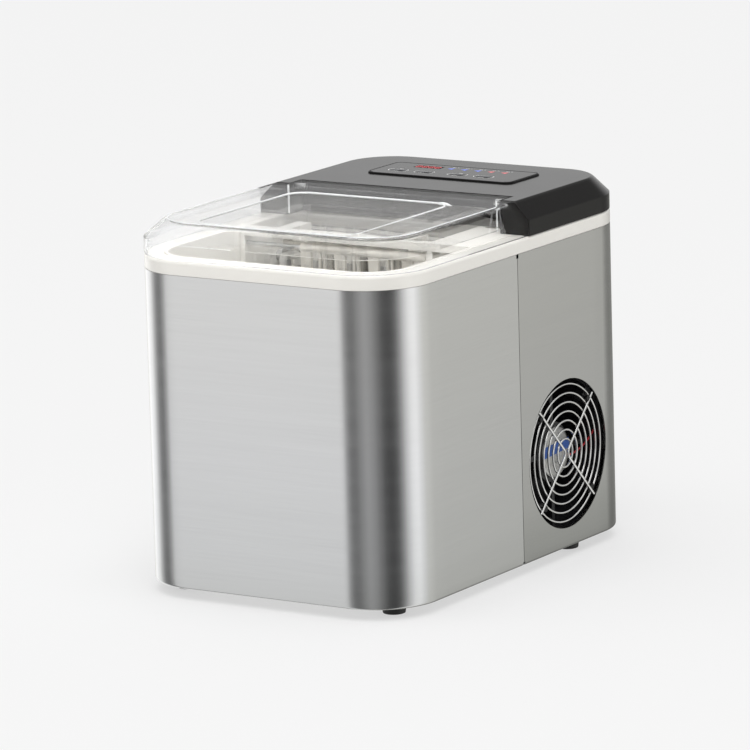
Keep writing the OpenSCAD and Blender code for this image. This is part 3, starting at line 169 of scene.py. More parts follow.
def cutWith(piece, cutters):
    # subtracts closed cutters, and applies the result so that only the finished mesh stays
    cutter = joined(piece.name + "Cut", cutters) if len(cutters) > 1 else cutters[0]
    modifier = piece.modifiers.new("cut", "BOOLEAN")
    modifier.operation = "DIFFERENCE"
    modifier.solver = "EXACT"
    modifier.use_self = len(cutters) > 1
    modifier.object = cutter
    bpy.context.view_layer.objects.active = piece
    piece.select_set(True)
    bpy.ops.object.modifier_apply(modifier=modifier.name)
    bpy.data.objects.remove(cutter)
    finishFaces(piece, recalculate=False)
    return piece


def copyOfNode(name, node, bevel):
    # a merged copy of a rigid solid, with a small round on its sharp edges
    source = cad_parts[node]
    piece = bpy.data.objects.new(name, source.data.copy())
    bpy.context.scene.collection.objects.link(piece)
    piece.data.materials.clear()
    bm = bmesh.new()
    bm.from_mesh(piece.data)
    bmesh.ops.remove_doubles(bm, verts=bm.verts, dist=2e-6)
    bmesh.ops.dissolve_limit(bm, angle_limit=math.radians(1.0), verts=bm.verts, edges=bm.edges)
    bm.to_mesh(piece.data)
    bm.free()
    modifier = piece.modifiers.new("edges", "BEVEL")
    modifier.width = bevel * mm
    modifier.segments = 2
    modifier.limit_method = "ANGLE"
    modifier.angle_limit = math.radians(40)
    finishFaces(piece, 40, recalculate=False)
    return steadyNormals(piece)


# ---- materials

noiseSpan = (0.3, 0.7)  # the part of a noise's range that counts


def newMaterial(name):
    # a material with its nodes, their links and its main shader
    material = bpy.data.materials.new(name)
    material.use_nodes = True
    nodes, links = material.node_tree.nodes, material.node_tree.links
    shader = nodes["Principled BSDF"]
    return material, nodes, links, shader


def objectPlaces(nodes, links, scale=(1, 1, 1)):
    # the socket with the place on the object, in metres, stretched by a scale for each axis
    place = nodes.new("ShaderNodeTexCoord")
    mapping = nodes.new("ShaderNodeMapping")
    mapping.inputs["Scale"].default_value = scale
    links.new(place.outputs["Object"], mapping.inputs["Vector"])
    return mapping.outputs["Vector"]


def axesOf(nodes, links, vector):
    # the parts of a vector, by the names of their axes
    split = nodes.new("ShaderNodeSeparateXYZ")
    links.new(vector, split.inputs["Vector"])
    return split.outputs


def noise(nodes, links, places, scale, detail=3.0, roughness=0.5):
    # the socket with the levels of a cloudy pattern at the given places
    texture = nodes.new("ShaderNodeTexNoise")
    texture.inputs["Scale"].default_value = scale
    texture.inputs["Detail"].default_value = detail
    texture.inputs["Roughness"].default_value = roughness
    links.new(places, texture.inputs["Vector"])
    return texture.outputs["Fac"]


def spread(nodes, links, value, low, high, outLow, outHigh):
    # maps one range of values onto another, and holds it at the ends
    ranged = nodes.new("ShaderNodeMapRange")
    for key, number in (("From Min", low), ("From Max", high), ("To Min", outLow), ("To Max", outHigh)):
        ranged.inputs[key].default_value = number
    links.new(value, ranged.inputs["Value"])
    return ranged.outputs["Result"]


def rampOf(nodes, links, value, stops, interpolation="LINEAR"):
    # levels or colours at their places along a ramp
    ramp = nodes.new("ShaderNodeValToRGB")
    while len(ramp.color_ramp.elements) < len(stops):
        ramp.color_ramp.elements.new(0.5)
    for element, (position, level) in zip(ramp.color_ramp.elements, stops):
        element.position, element.color = position, (*np.broadcast_to(level, 3), 1)
    ramp.color_ramp.interpolation = interpolation
    links.new(value, ramp.inputs["Fac"])
    return ramp.outputs["Color"]


def mixedColour(nodes, links, factor, first, second, blend="MIX"):
    # first and second are plain colours or sockets, and factor is a number or a socket
    mix = nodes.new("ShaderNodeMix")
    mix.data_type, mix.blend_type = "RGBA", blend
    for key, value in (("A", first), ("B", second)):
        if isinstance(value, bpy.types.NodeSocket):
            links.new(value, mix.inputs[key])
        else:
            mix.inputs[key].default_value = (*value, 1)
    if isinstance(factor, bpy.types.NodeSocket):
        links.new(factor, mix.inputs["Factor"])
    else:
        mix.inputs["Factor"].default_value = factor
    return mix.outputs["Result"]


def addBump(nodes, links, shader, height, strength, distance):
    # a fine relief from the levels of a noise
    bump = nodes.new("ShaderNodeBump")
    bump.inputs["Strength"].default_value = strength
    bump.inputs["Distance"].default_value = distance
    links.new(height, bump.inputs["Height"])
    links.new(bump.outputs["Normal"], shader.inputs["Normal"])


# the tones are painted shade: they multiply the sheet's colour at their share of the height span below, in
# metres from the floor, so the steel is darker towards the floor and a little lighter near the top
# the rear sheet's darker tint is painted shade on the same steel
steelLook = {"colour": (0.625, 0.625, 0.622), "dark": (0.60, 0.60, 0.597), "rearShade": (0.86, 0.86, 0.85),
             "roughness": (0.17, 0.22), "grain": (9.0, 9.0, 2600.0), "bump": 0.04, "shadeHeight": 0.25,
             "shadeTones": [(0.03, (0.85, 0.86, 0.86)), (0.16, (0.92, 0.93, 0.94)), (0.45, (0.98, 0.985, 1.0)),
                       (0.9, (1.02, 1.02, 1.02))],
             "rearShadeTones": [(0.03, (0.69, 0.70, 0.70)), (0.12, (0.78, 0.79, 0.79)),
                           (0.22, (0.90, 0.905, 0.91)), (0.45, (0.98, 0.985, 1.0)),
                           (0.9, (1.04, 1.04, 1.04))]}


def brushedSteel(name, look, shadeTones, tint=(1.0, 1.0, 1.0)):
    # fine horizontal scratches: noise drawn out along the sheet and tight in height
    material, nodes, links, shader = newMaterial(name)
    grain = noise(nodes, links, objectPlaces(nodes, links, look["grain"]), 1.6, 4.0, 0.65)
    broad = noise(nodes, links, objectPlaces(nodes, links, (3.0, 3.0, 60.0)), 1.5, 3.0)
    # a tint below one darkens the whole sheet: the rear copy uses it as painted shade
    light, dark = (tuple(np.multiply(look[key], tint)) for key in ("colour", "dark"))
    sheet = mixedColour(nodes, links, spread(nodes, links, grain, 0.35, 0.65, 0.0, 1.0), dark, light)
    # painted shade: a ramp over height darkens the sheet towards the floor and lightens it a little at the
    # top
    height = axesOf(nodes, links, objectPlaces(nodes, links))["Z"]
    shadeLevel = rampOf(nodes, links, spread(nodes, links, height, 0.0, look["shadeHeight"], 0.0, 1.0), shadeTones)
    links.new(mixedColour(nodes, links, 1.0, sheet, shadeLevel, "MULTIPLY"), shader.inputs["Base Color"])
    links.new(spread(nodes, links, broad, *noiseSpan, *look["roughness"]), shader.inputs["Roughness"])
    shader.inputs["Metallic"].default_value = 1.0
    addBump(nodes, links, shader, grain, look["bump"], 0.00008)
    return material


def moulded(name, colour, roughness, texture=0.0, textureScale=900.0, coat=0.0, variation=0.03, specular=0.5):
    # plastic or rubber: slight colour drift, roughness that varies, and an optional fine grain
    material, nodes, links, shader = newMaterial(name)
    places = objectPlaces(nodes, links)
    drift = noise(nodes, links, places, 22.0, 3.0)
    low = tuple(max(c * (1 - variation), 0) for c in colour)
    high = tuple(min(c * (1 + variation), 1) for c in colour)
    links.new(mixedColour(nodes, links, drift, low, high), shader.inputs["Base Color"])
    rough = spread(nodes, links, drift, *noiseSpan, roughness * 0.9, min(roughness * 1.12, 1))
    links.new(rough, shader.inputs["Roughness"])
    shader.inputs["Specular IOR Level"].default_value = specular
    shader.inputs["Coat Weight"].default_value = coat
    if texture:
        addBump(nodes, links, shader, noise(nodes, links, places, textureScale, 2.0), texture, 0.0001)
    return material


def metal(name, colour, roughness, grain=0.0, tarnish=0.08):
    # bare metal: a drift towards a darker colour, roughness that varies, and an optional fine grain
    material, nodes, links, shader = newMaterial(name)
    drift = noise(nodes, links, objectPlaces(nodes, links), 40.0, 4.0)
    dark = tuple(c * (1 - tarnish) for c in colour)
    links.new(mixedColour(nodes, links, drift, dark, colour), shader.inputs["Base Color"])
    rough = spread(nodes, links, drift, *noiseSpan, roughness * 0.8, roughness * 1.2)
    links.new(rough, shader.inputs["Roughness"])
    shader.inputs["Metallic"].default_value = 1.0
    if grain:
        fine = noise(nodes, links, objectPlaces(nodes, links, (400, 400, 400)), 1.0, 2.0)
        addBump(nodes, links, shader, fine, grain, 0.0001)
    return material


def clearPlastic(name, colour, ior, alpha, roughness=0.02):
    # clear moulding with a faint waviness in its gloss
    material, nodes, links, shader = newMaterial(name)
    wave = noise(nodes, links, objectPlaces(nodes, links), 9.0, 2.0)
    rough = spread(nodes, links, wave, *noiseSpan, roughness * 0.6, roughness * 1.6)
    links.new(rough, shader.inputs["Roughness"])
    shader.inputs["Base Color"].default_value = (*colour, 1)
    shader.inputs["Transmission Weight"].default_value = 1.0
    shader.inputs["IOR"].default_value = ior
    shader.inputs["Alpha"].default_value = alpha
    return material


def lit(name, colour, strength):
    # a dark face that glows, a little unevenly
    material, nodes, links, shader = newMaterial(name)
    shader.inputs["Base Color"].default_value = (0.02, 0.02, 0.02, 1)
    shader.inputs["Roughness"].default_value = 0.2
    glow = noise(nodes, links, objectPlaces(nodes, links), 300.0, 2.0)
    low = tuple(c * 0.85 for c in colour)
    links.new(mixedColour(nodes, links, glow, low, colour), shader.inputs["Emission Color"])
    shader.inputs["Emission Strength"].default_value = strength
    return material


steelFront = brushedSteel("steelFront", steelLook, steelLook["shadeTones"])
# the rear sheet is the same steel, darker all over and more so towards the floor: painted shade
steelRear = brushedSteel("steelRear", steelLook, steelLook["rearShadeTones"], steelLook["rearShade"])
rimWhite = moulded("rimWhite", (0.86, 0.84, 0.79), 0.22, coat=0.3)
tankWhite = moulded("tankWhite", (0.90, 0.88, 0.83), 0.30)
hoodBlack = moulded("hoodBlack", (0.0085, 0.008, 0.0075), 0.14, specular=0.16)
panelBlack = moulded("panelBlack", (0.0085, 0.008, 0.008), 0.14, specular=0.15)
buttonDark = moulded("buttonDark", (0.030, 0.031, 0.035), 0.18)
printDark = moulded("printDark", (0.006, 0.006, 0.006), 0.7, specular=0.1)
printWhite = moulded("printWhite", (0.80, 0.80, 0.80), 0.45)
lidClear = clearPlastic("lidClear", (0.985, 0.988, 0.99), 1.07, 0.8)
# a white for the painted highlights on the lid's edges
highlightWhite = moulded("highlightWhite", (0.90, 0.91, 0.92), 0.12, specular=0.7)
digitRed = lit("digitRed", (0.80, 0.03, 0.04), 1.0)
windowDark = moulded("windowDark", (0.030, 0.012, 0.013), 0.15)
lampBlue = lit("lampBlue", (0.04, 0.12, 0.75), 0.9)
lampRed = lit("lampRed", (0.75, 0.03, 0.05), 0.9)
basketPlastic = moulded("basketPlastic", (0.60, 0.61, 0.61), 0.32)
trayPlastic = moulded("trayPlastic", (0.46, 0.46, 0.45), 0.30)
shovelPlastic = moulded("shovelPlastic", (0.66, 0.63, 0.57), 0.35)
darkPlastic = moulded("darkPlastic", (0.018, 0.018, 0.019), 0.45, texture=0.25)
fanPlastic = moulded("fanPlastic", (0.012, 0.012, 0.013), 0.35)
rubberBlack = moulded("rubberBlack", (0.016, 0.016, 0.016), 0.65, texture=0.4, textureScale=1400.0)
boardGreen = moulded("boardGreen", (0.02, 0.14, 0.06), 0.35, variation=0.12)
foamWhite = moulded("foamWhite", (0.78, 0.78, 0.76), 0.85, texture=0.8, textureScale=420.0)
hoseMilky = moulded("hoseMilky", (0.62, 0.61, 0.58), 0.28)
leadRed = moulded("leadRed", (0.45, 0.02, 0.03), 0.40)
labelBlue = moulded("labelBlue", (0.02, 0.10, 0.42), 0.40, variation=0.15)
motorSilver = metal("motorSilver", (0.55, 0.55, 0.54), 0.38, 0.2)
zincSteel = metal("zincSteel", (0.60, 0.60, 0.60), 0.28)
blackOxide = metal("blackOxide", (0.035, 0.035, 0.036), 0.42)
wireChrome = metal("wireChrome", (0.72, 0.72, 0.71), 0.18)
nickel = metal("nickel", (0.62, 0.60, 0.56), 0.22)
copper = metal("copper", (0.72, 0.36, 0.22), 0.28, tarnish=0.25)
finAluminium = metal("finAluminium", (0.62, 0.63, 0.64), 0.40, 0.2)
canBlack = moulded("canBlack", (0.020, 0.020, 0.022), 0.30, texture=0.15, textureScale=500.0)


def wear(piece, material, slot, body=None, *replacedNodes):
    # gives a new piece its finish and its body, and hides the nodes that it replaces
    piece.data.materials.clear()
    piece.data.materials.append(material)
    if body:
        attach(piece, body)
    if replacedNodes:
        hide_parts(*replacedNodes)
    return piece


print("stage: materials ready")


# ---- steel wraps: a profile (inset, height) carried along the plan's outline

wrapShape = {"wall": 1.0, "rollRadius": 2.2, "flange": 8.0, "seamGap": 0.6, "notch": 3.0, "cutDepth": 6.0}


def wrapProfile():
    # closed profile: up the outside from a rolled lower edge, back down the inside, then the flange
    r, t = wrapShape["rollRadius"], wrapShape["wall"]
    z0, z1 = cabinet["steelBottom"], cabinet["steelTop"]
    outer = arc(r, z0 + r, r, 270, 180, 5)
    inner = arc(r, z0 + r, r - t, 180, 270, 4)
    middle = [[0, z0 + 8], [0, z1 - 8], [0, z1], [t, z1], [t, z1 - 8], [t, z0 + 8]]
    start, end = [[wrapShape["flange"], z0]], [[wrapShape["flange"], z0 + t]]
    return np.concatenate([start, outer, middle, inner, end])


def wrapPath(front):
    # the open part of the outline on one side of the seam, as points with outward normals
    w, d, r = cabinet["halfWidth"], cabinet["halfDepth"], cabinet["cornerRadius"]
    way = -1 if front else 1
    seam = way * wrapShape["seamGap"] / 2
    a = np.radians(np.linspace(way * 90, 0, 29))
    corner = np.stack([w - r + r * np.cos(a), (d - r) * way + r * np.sin(a)], 1)
    normals = np.stack([np.cos(a), np.sin(a)], 1)
    sideYs = np.linspace(corner[-1][1], seam, 9)[1:]
    right = np.concatenate([corner, np.stack([np.full(8, w), sideYs], 1)])
    rightN = np.concatenate([normals, np.tile([1.0, 0.0], (8, 1))])
    points = np.concatenate([right[::-1], right * [-1, 1]])
    return points, np.concatenate([rightN[::-1], rightN * [-1, 1]])


def makeWrap(name, front):
    # each point of the path moved inwards by the profile's insets
    points, normals = wrapPath(front)
    profile = wrapProfile()
    outlines = [points - normals * inset for inset, _ in profile]
    return carried(name, outlines, [z for _, z in profile], wrapRows=True, wrapCols=False)


def slotOutline(length, height, steps=6):
    # a flat slot with round ends, around zero
    r, end = height / 2, (length - height) / 2
    return np.concatenate([arc(end, 0, r, -90, 90, steps), arc(-end, 0, r, 90, 270, steps)])


def wallCutter(name, centre, flat, along):
    # a closed bar of the given outline that stands across a wall, which runs along x or y
    depth = wrapShape["cutDepth"]
    u, v = flat.T
    across = [np.full(len(flat), side) for side in (-depth, depth)]
    rows = [np.stack([side, u, v] if along == "y" else [u, side, v], 1) for side in across]
    n = len(flat)
    faces = gridFaces(2, n, False, True) + [list(range(n)), list(range(n, 2 * n))]
    return addMesh(name, np.concatenate(rows) + centre, faces)


ventShape = {"height": 3.5, "pitch": 9.0, "rows": 11, "firstZ": 44.0, "length": 40.0,
             "sideY": (34.0, 80.0), "backX": (-14.0, 62.0), "inletX": (-64.0, -28.0), "inletZ": (34.0, 70.0)}
fanShape = {"y": 68.0, "z": 81.0, "opening": 57.5, "guardX": 117.3, "braceX": 118.8, "wire": 0.8,
            "firstRing": 10.9, "ringPitch": 7.0, "rings": 7, "braceReach": 56.0, "braceBend": 4.4}


def notchCutters():
    # small boxes across the seam at the foot and the top of both sides
    half, w, deep, past = wrapShape["notch"] / 2, cabinet["halfWidth"], wrapShape["cutDepth"], 5
    z0, z1 = cabinet["steelBottom"], cabinet["steelTop"]
    return [boxAround("notchCut", (s * w - deep, s * w + deep), (-half, half), z)
            for s in (-1, 1) for z in ((z0 - past, z0 + 2 * half), (z1 - 2 * half, z1 + past))]


def makeRearCutters():
    # the notches, rows of slots at even heights in side and back, the fan's round opening, the cord's inlet
    v, w, d = ventShape, cabinet["halfWidth"], cabinet["halfDepth"]
    cutters = notchCutters()
    x0, x1 = v["backX"]
    side, back = slotOutline(v["length"], v["height"]), slotOutline(x1 - x0, v["height"])
    for i in range(v["rows"]):
        z = v["firstZ"] + v["pitch"] * i + v["height"] / 2
        cutters += [wallCutter("slotCut", (-w, y + v["length"] / 2, z), side, "y") for y in v["sideY"]]
        cutters.append(wallCutter("slotCut", ((x0 + x1) / 2, d, z), back, "x"))
    ring = arc(0, 0, fanShape["opening"], 0, 360, 96)[:-1]
    cutters.append(wallCutter("fanCut", (w, fanShape["y"], fanShape["z"]), ring, "y"))
    cutters.append(boxAround("inletCut", v["inletX"], (d - 15, d + 15), v["inletZ"]))
    return cutters


frontSkin = cutWith(makeWrap("frontSkin", True), notchCutters())
wear(frontSkin, steelFront, "steel_front", "case", "front_wrap")
rearSkin = cutWith(makeWrap("rearSkin", False), makeRearCutters())
wear(rearSkin, steelRear, "steel_rear", "case", "rear_wrap")
print("stage: steel wraps")


# ---- white rim: a closed profile carried round the outline, with a bridge under the hood

# rounds: of the upper outer edge, the upper inner edge and the lower edge
rimShape = {"rounds": (2.6, 2.0, 0.7), "bridgeX": 104.6, "bridgeY": (52.3, 62.0)}


def insetLoop(inset):
    # the cabinet's outline, moved inwards
    w, d, r = cabinet["halfWidth"], cabinet["halfDepth"], cabinet["cornerRadius"]
    return roundedLoop(w - inset, inset - d, d - inset, r - inset, 20)


def makeRim():
    # quarter circles at the lower, the upper outer and the upper inner edge, carried round the outline
    z0, z1, ledge = cabinet["steelTop"], cabinet["deck"], cabinet["ledge"] - 0.3
    ro, ri, rl = rimShape["rounds"]
    profile = np.concatenate([arc(rl, z0 + rl, rl, 270, 180, 3), arc(ro, z1 - ro, ro, 180, 90, 7),
                              arc(ledge - ri, z1 - ri, ri, 90, 0, 6), [[ledge, z0]]])
    outlines = [insetLoop(inset) for inset, _ in profile]
    ring = carried("rimRing", outlines, [z for _, z in profile], True, capEnds=False)
    x = rimShape["bridgeX"]
    bridge = boxAround("rimBridge", (-x, x), rimShape["bridgeY"], (z0 + 0.2, z1 - 0.1))
    return steadyNormals(joined("rimTrim", [ring, bridge]))


wear(makeRim(), rimWhite, "white_rim", "case", "top_rim")
print("stage: rim")


# ---- the crown that hood and lid share: its plan section at a height, every face moved in by c

def roundIn(z, top, r):
    # how far a quarter circle that ends at the top has moved inwards at height z
    rise = max(z - (top - r), 0.0)
    return r - math.sqrt(max(r ** 2 - rise ** 2, 0.0))


def crownAt(z, c):
    # the side and front insets of the crown at height z, with the top edge rounded
    brow, top = cabinet["brow"], cabinet["top"]
    t = np.clip((z - (brow - browLean * c)) / (top - brow), 0, 1)
    extra = roundIn(z, top - c, cabinet["topRound"])
    return c + cabinet["shoulderSide"] * t + extra, c + cabinet["shoulderFront"] * t + extra


def crownHeights(z0, c):
    # heights of the rings from the lower edge to the top, close together at the brow and the top edge
    brow, top, r = cabinet["brow"] - browLean * c, cabinet["top"] - c, cabinet["topRound"]
    up = top - r + r * np.sin(np.radians([0, 18, 36, 54, 72, 90]))
    return [z0, brow - 1.2, brow, brow + 1.2] + list(np.linspace(brow + 1.2, up[0], 4)[1:-1]) + list(up)


def earFront(z, c):
    # where the ears begin at height z: upright, then a quarter circle at the top
    return earShape["frontY"] + c + roundIn(z, cabinet["top"] - c, max(earShape["edgeRadius"] - c, 0.2))


def mirrored(half):
    # a closed outline from its right half, whose first and last points lie on the middle line
    return np.concatenate([half, (half * [-1, 1])[::-1][1:-1]])


def hoodOutline(z, c):
    # closed outline from the middle of the hood's front: inside of the ear, its front, outer side, back
    side, _ = crownAt(z, c)
    w, d, r = cabinet["halfWidth"], cabinet["halfDepth"], cabinet["cornerRadius"]
    x, yBack, rc = w - side, d - side, r - side
    extra, soft = roundIn(z, cabinet["top"] - c, 1.0), earShape["cornerRound"]
    xi, yh, ye = earShape["innerX"] + c + extra, earShape["hoodY"] + c + extra, earFront(z, c)
    ys = np.linspace(ye + soft, yBack - rc, 7)
    half = np.concatenate([
        [[0.0, yh], [xi - 6.0, yh]], arc(xi - soft, yh - soft, soft, 90, 0, 3),
        arc(xi + soft, ye + soft, soft, 180, 270, 3), arc(x - soft, ye + soft, soft, 270, 360, 3),
        np.stack([np.full(6, x), ys[1:]], 1), arc(x - rc, yBack - rc, rc, 0, 90, 20)[1:], [[0.0, yBack]]])
    return mirrored(half)


def makeHood():
    # down the inside from the ceiling, then up the outside
    z0, wall = cabinet["deck"], shellWall
    inner, outer = crownHeights(z0, wall), crownHeights(z0, 0.0)
    outlines = [hoodOutline(z, wall) for z in inner[::-1]] + [hoodOutline(z, 0.0) for z in outer]
    return carried("hoodShell", outlines, inner[::-1] + outer, smoothAngle=28)


# the opening under the panel
hoodCut = {"x": (-54, 54), "y": (88, 127), "z": (278, 284)}
hoodShell = steadyNormals(cutWith(makeHood(), [boxAround("panelCut", **hoodCut)]))
wear(hoodShell, hoodBlack, "black_gloss", "case", "hood")
print("stage: hood")


# ---- clear lid: walls and rounded top, with the curled lip at the hinge

lidShape = {"gap": 0.3, "lip": 7.7, "lipDrop": 5.0, "notchRise": 5.0, "hingeY": 30.0, "hingeZ": 277.0,
            "recessX": 70.0, "recessY": (-152.0, -8.0), "recessRound": 16.0, "recessDepth": 0.8}
# heights of the lower edge at the walls, at the notch in front of the ear, and at the lip
lidLevels = {"walls": cabinet["deck"] + lidShape["gap"], "notch": cabinet["deck"] + lidShape["notchRise"],
             "lip": lidShape["hingeZ"] - lidShape["lipDrop"]}


def lidOutline(z, c):
    # closed outline from the middle of the front: side, rear step at the ear, notch wall, lip
    side, frontIn = crownAt(z, c)
    w, d, r = cabinet["halfWidth"], cabinet["halfDepth"], cabinet["cornerRadius"]
    x, y0, rc = w - side, frontIn - d, r - side
    gap, soft = lidShape["gap"], earShape["cornerRound"]
    xn, yw = earShape["innerX"] - gap - c, earShape["frontY"] - gap - c
    drop = max(z - lidShape["hingeZ"], -lidShape["lipDrop"])
    yl = lidShape["hingeY"] + math.sqrt(max((lidShape["lip"] - c) ** 2 - drop ** 2, 1.0))
    corner = arc(x - rc, y0 + rc, rc, -90, 0, 20)
    wall = np.stack([np.full(6, x), np.linspace(corner[-1][1], yw - soft, 7)[1:]], 1)
    return mirrored(np.concatenate([
        [[0.0, y0]], corner, wall, arc(x - soft, yw - soft, soft, 0, 90, 3)[1:],
        [[xn, yw], [xn, yl - 0.6], [xn - 0.6, yl], [xn - 1.0, yl], [0.0, yl]]]))


def lidFloor(c):
    # lower edge of each point of the outline: low at the walls, higher at the notch, highest at the lip
    half = len(lidOutline(cabinet["top"] - c, c)) // 2 + 1
    z = np.full(half, lidLevels["walls"])
    z[half - 5:half - 2] = lidLevels["notch"]
    z[half - 2:] = lidLevels["lip"]
    return np.concatenate([z, z[::-1][1:-1]])


def lidRings(c):
    # outlines and heights of the rings; a point held up at its own lower edge takes its plan place there
    floor = lidFloor(c)
    edge = np.stack([lidOutline(f, c)[k] for k, f in enumerate(floor)])
    levels = sorted({*crownHeights(lidLevels["walls"], c), lidLevels["notch"], lidLevels["lip"]})
    rows = [np.where((floor > z)[:, None], edge, lidOutline(z, c)) for z in levels]
    return rows, [np.maximum(z, floor) for z in levels]


def fillBetween(bm, loops, z):
    # fills the flat region between closed loops of vertices at one height
    edges = []
    for loop in loops:
        edges += [bm.edges.get((a, b)) or bm.edges.new((a, b)) for a, b in zip(loop, loop[1:] + loop[:1])]
    bmesh.ops.triangle_fill(bm, use_beauty=True, use_dissolve=False, edges=edges, normal=(0, 0, z))


def makeLid():
    # down the inside from the ceiling and up the outside as one grid, then the top around a shallow recess
    outerRows, outerZ = lidRings(0.0)
    innerRows, innerZ = lidRings(shellWall)
    rows = np.stack(innerRows[::-1] + outerRows)
    n = rows.shape[1]
    grid = np.dstack([rows, np.stack(innerZ[::-1] + outerZ)])
    mesh = bpy.data.meshes.new("lidShell")
    mesh.from_pydata((grid.reshape(-1, 3) * mm).tolist(), [], gridFaces(len(rows), n, False, True))
    bm = bmesh.new()
    bm.from_mesh(mesh)
    bm.verts.ensure_lookup_table()
    last = (len(rows) - 1) * n
    fillBetween(bm, [[bm.verts[k] for k in range(n)]], -1)
    # the recess: its upper edge, a small slope, and its floor
    x, (y0, y1), r, deep = (lidShape["recess" + key] for key in ("X", "Y", "Round", "Depth"))
    top = cabinet["top"]
    loops = []
    for inset, z in ((0.0, top), (0.25, top - 0.1), (0.9, top - deep + 0.1), (1.2, top - deep)):
        loop = roundedLoop(x - inset, y0 + inset, y1 - inset, r - inset, 12)
        loops.append([bm.verts.new((p[0] * mm, p[1] * mm, z * mm)) for p in loop])
    bm.verts.ensure_lookup_table()
    outerLoop = [bm.verts[last + k] for k in range(n)]
    fillBetween(bm, [outerLoop, loops[0]], 1)
    for a, b in zip(loops, loops[1:]):
        for k in range(len(a)):
            j = (k + 1) % len(a)
            bm.faces.new((a[k], a[j], b[j], b[k]))
    bm.faces.new(loops[-1])
    bm.to_mesh(mesh)
    bm.free()
    piece = bpy.data.objects.new("lidShell", mesh)
    bpy.context.scene.collection.objects.link(piece)
    finishFaces(piece, 28)
    return piece


lidShell = wear(steadyNormals(makeLid()), lidClear, "clear_lid", "lid", "lid")
lidShell.visible_shadow = False


# painted highlights on the edges of the clear moulding: white tubes round the recess, along the crest, and
# down the notches

highlightRadii = {"recess": 0.85, "recessFront": 0.4, "crest": 0.45, "notch": 0.7}


def recessHighlight():
    # a painted highlight round the recess, thick along the back and the far side, thin along the front and
    # the near side
    x, (y0, y1), r = lidShape["recessX"], lidShape["recessY"], lidShape["recessRound"]
    loop = roundedLoop(x - 0.5, y0 + 0.5, y1 - 0.5, r - 0.5)
    weight = np.clip((loop[:, 1] - (y0 + y1) / 2) / 40 + 0.5 - 0.9 * loop[:, 0] / x, 0, 1)
    thick = highlightRadii["recessFront"] + (highlightRadii["recess"] - highlightRadii["recessFront"]) * weight
    path = np.concatenate([loop, np.full((len(loop), 1), cabinet["top"] - 0.25)], 1)
    return tubeAlong("paintedHighlight", path, thick, 10, closed=True)


def recessHighlightDrop():
    # the painted highlight's drop where the line runs out at the back corner: its place towards the front
    # grows with the square of the way along it, and its radius swells and shrinks as a power of a sine
    x, y1 = lidShape["recessX"] - 6.0, lidShape["recessY"][1] - 2.4
    t = np.linspace(0, 1, 15)
    path = np.stack([x - 9 + 18 * t, y1 + 0.8 - 5.5 * t ** 2, np.full(15, cabinet["top"] - 0.1)], 1)
    return tubeAlong("paintedHighlight", path, 0.25 + 1.35 * np.sin(np.pi * t) ** 1.2, 12)


def crestHighlight():
    # a painted highlight along the top edge of the slope, from notch to notch round the front
    outline = lidOutline(cabinet["top"] - 0.35, 0.3)
    keep = outline[outline[:, 1] < earShape["frontY"] - 1.5]
    order = np.argsort(np.arctan2(keep[:, 0], -(keep[:, 1] - 40.0)))
    path = np.concatenate([keep[order], np.full((len(keep), 1), cabinet["top"] - 0.45)], 1)
    return tubeAlong("paintedHighlight", path, highlightRadii["crest"], 8)


def notchHighlight(side):
    # a painted highlight down the wall of the notch in front of the ear
    x = side * (earShape["innerX"] - lidShape["gap"] - 1.0)
    y = earShape["frontY"] - lidShape["gap"] - 1.0
    path = np.array([[x, y, z] for z in np.linspace(cabinet["deck"] + 1.5, cabinet["top"] - 1.2, 9)])
    return tubeAlong("paintedHighlight", path, highlightRadii["notch"], 8)


highlights = [recessHighlight(), recessHighlightDrop(), crestHighlight(), notchHighlight(-1), notchHighlight(1)]
wear(joined("lidHighlights", highlights), highlightWhite, "clear_lid", "lid")
print("stage: lid")


# ---- control panel: plate, buttons, print, digits and lamps

panelShape = {"x": 65.0, "y": (83.0, 131.0), "z": (282.0, 283.2), "round": 6.0, "edge": 0.7,
              "line": (0.9, 1.9), "buttonX": (-44.3, -20.9, 8.9, 32.3), "buttonY": 98.5,
              "button": (12.4, 5.4), "hole": (13.0, 6.0), "capFoot": 279.6,
              "lampX": (-8.7, 3.3, 15.3, 27.3, 39.3), "lampY": 118.5, "lampSide": 6.0,
              "windowX": (-40.85, -17.15), "windowY": (114.15, 122.85), "windowFoot": 281.0,
              "digitX": (-39.4, -33.8, -28.2, -22.6), "digitY": 115.5, "digit": (3.4, 6.0), "trim": 0.35}
plateTop = panelShape["z"][1]


def plateLoop(inset):
    # the plate's outline, moved inwards
    x, (y0, y1), r = panelShape["x"], panelShape["y"], panelShape["round"]
    return roundedLoop(x - inset, y0 + inset, y1 - inset, r - inset, 10)


def plug(name, centre, size, profile):
    # a slot's outline at the heights of the profile (inset, height), drawn in by its insets
    size = np.array(size)
    loop = slotOutline(*size, 10)
    outlines = [np.array(centre) + loop * (1 - 2 * inset / size) for inset, _ in profile]
    return carried(name, outlines, [z for _, z in profile])


def makePlate():
    # an upright side and a quarter circle at its top, carried round the outline, with the buttons' holes
    z0, e = panelShape["z"][0], panelShape["edge"]
    profile = np.concatenate([[[0, z0]], arc(e, plateTop - e, e, 180, 90, 5)])
    plate = carried("panelPlate", [plateLoop(inset) for inset, _ in profile], [z for _, z in profile])
    through = [(0, z0 - 1), (0, plateTop + 1)]
    cutters = [plug("buttonCut", (x, panelShape["buttonY"]), panelShape["hole"], through)
               for x in panelShape["buttonX"]]
    return steadyNormals(cutWith(plate, cutters))


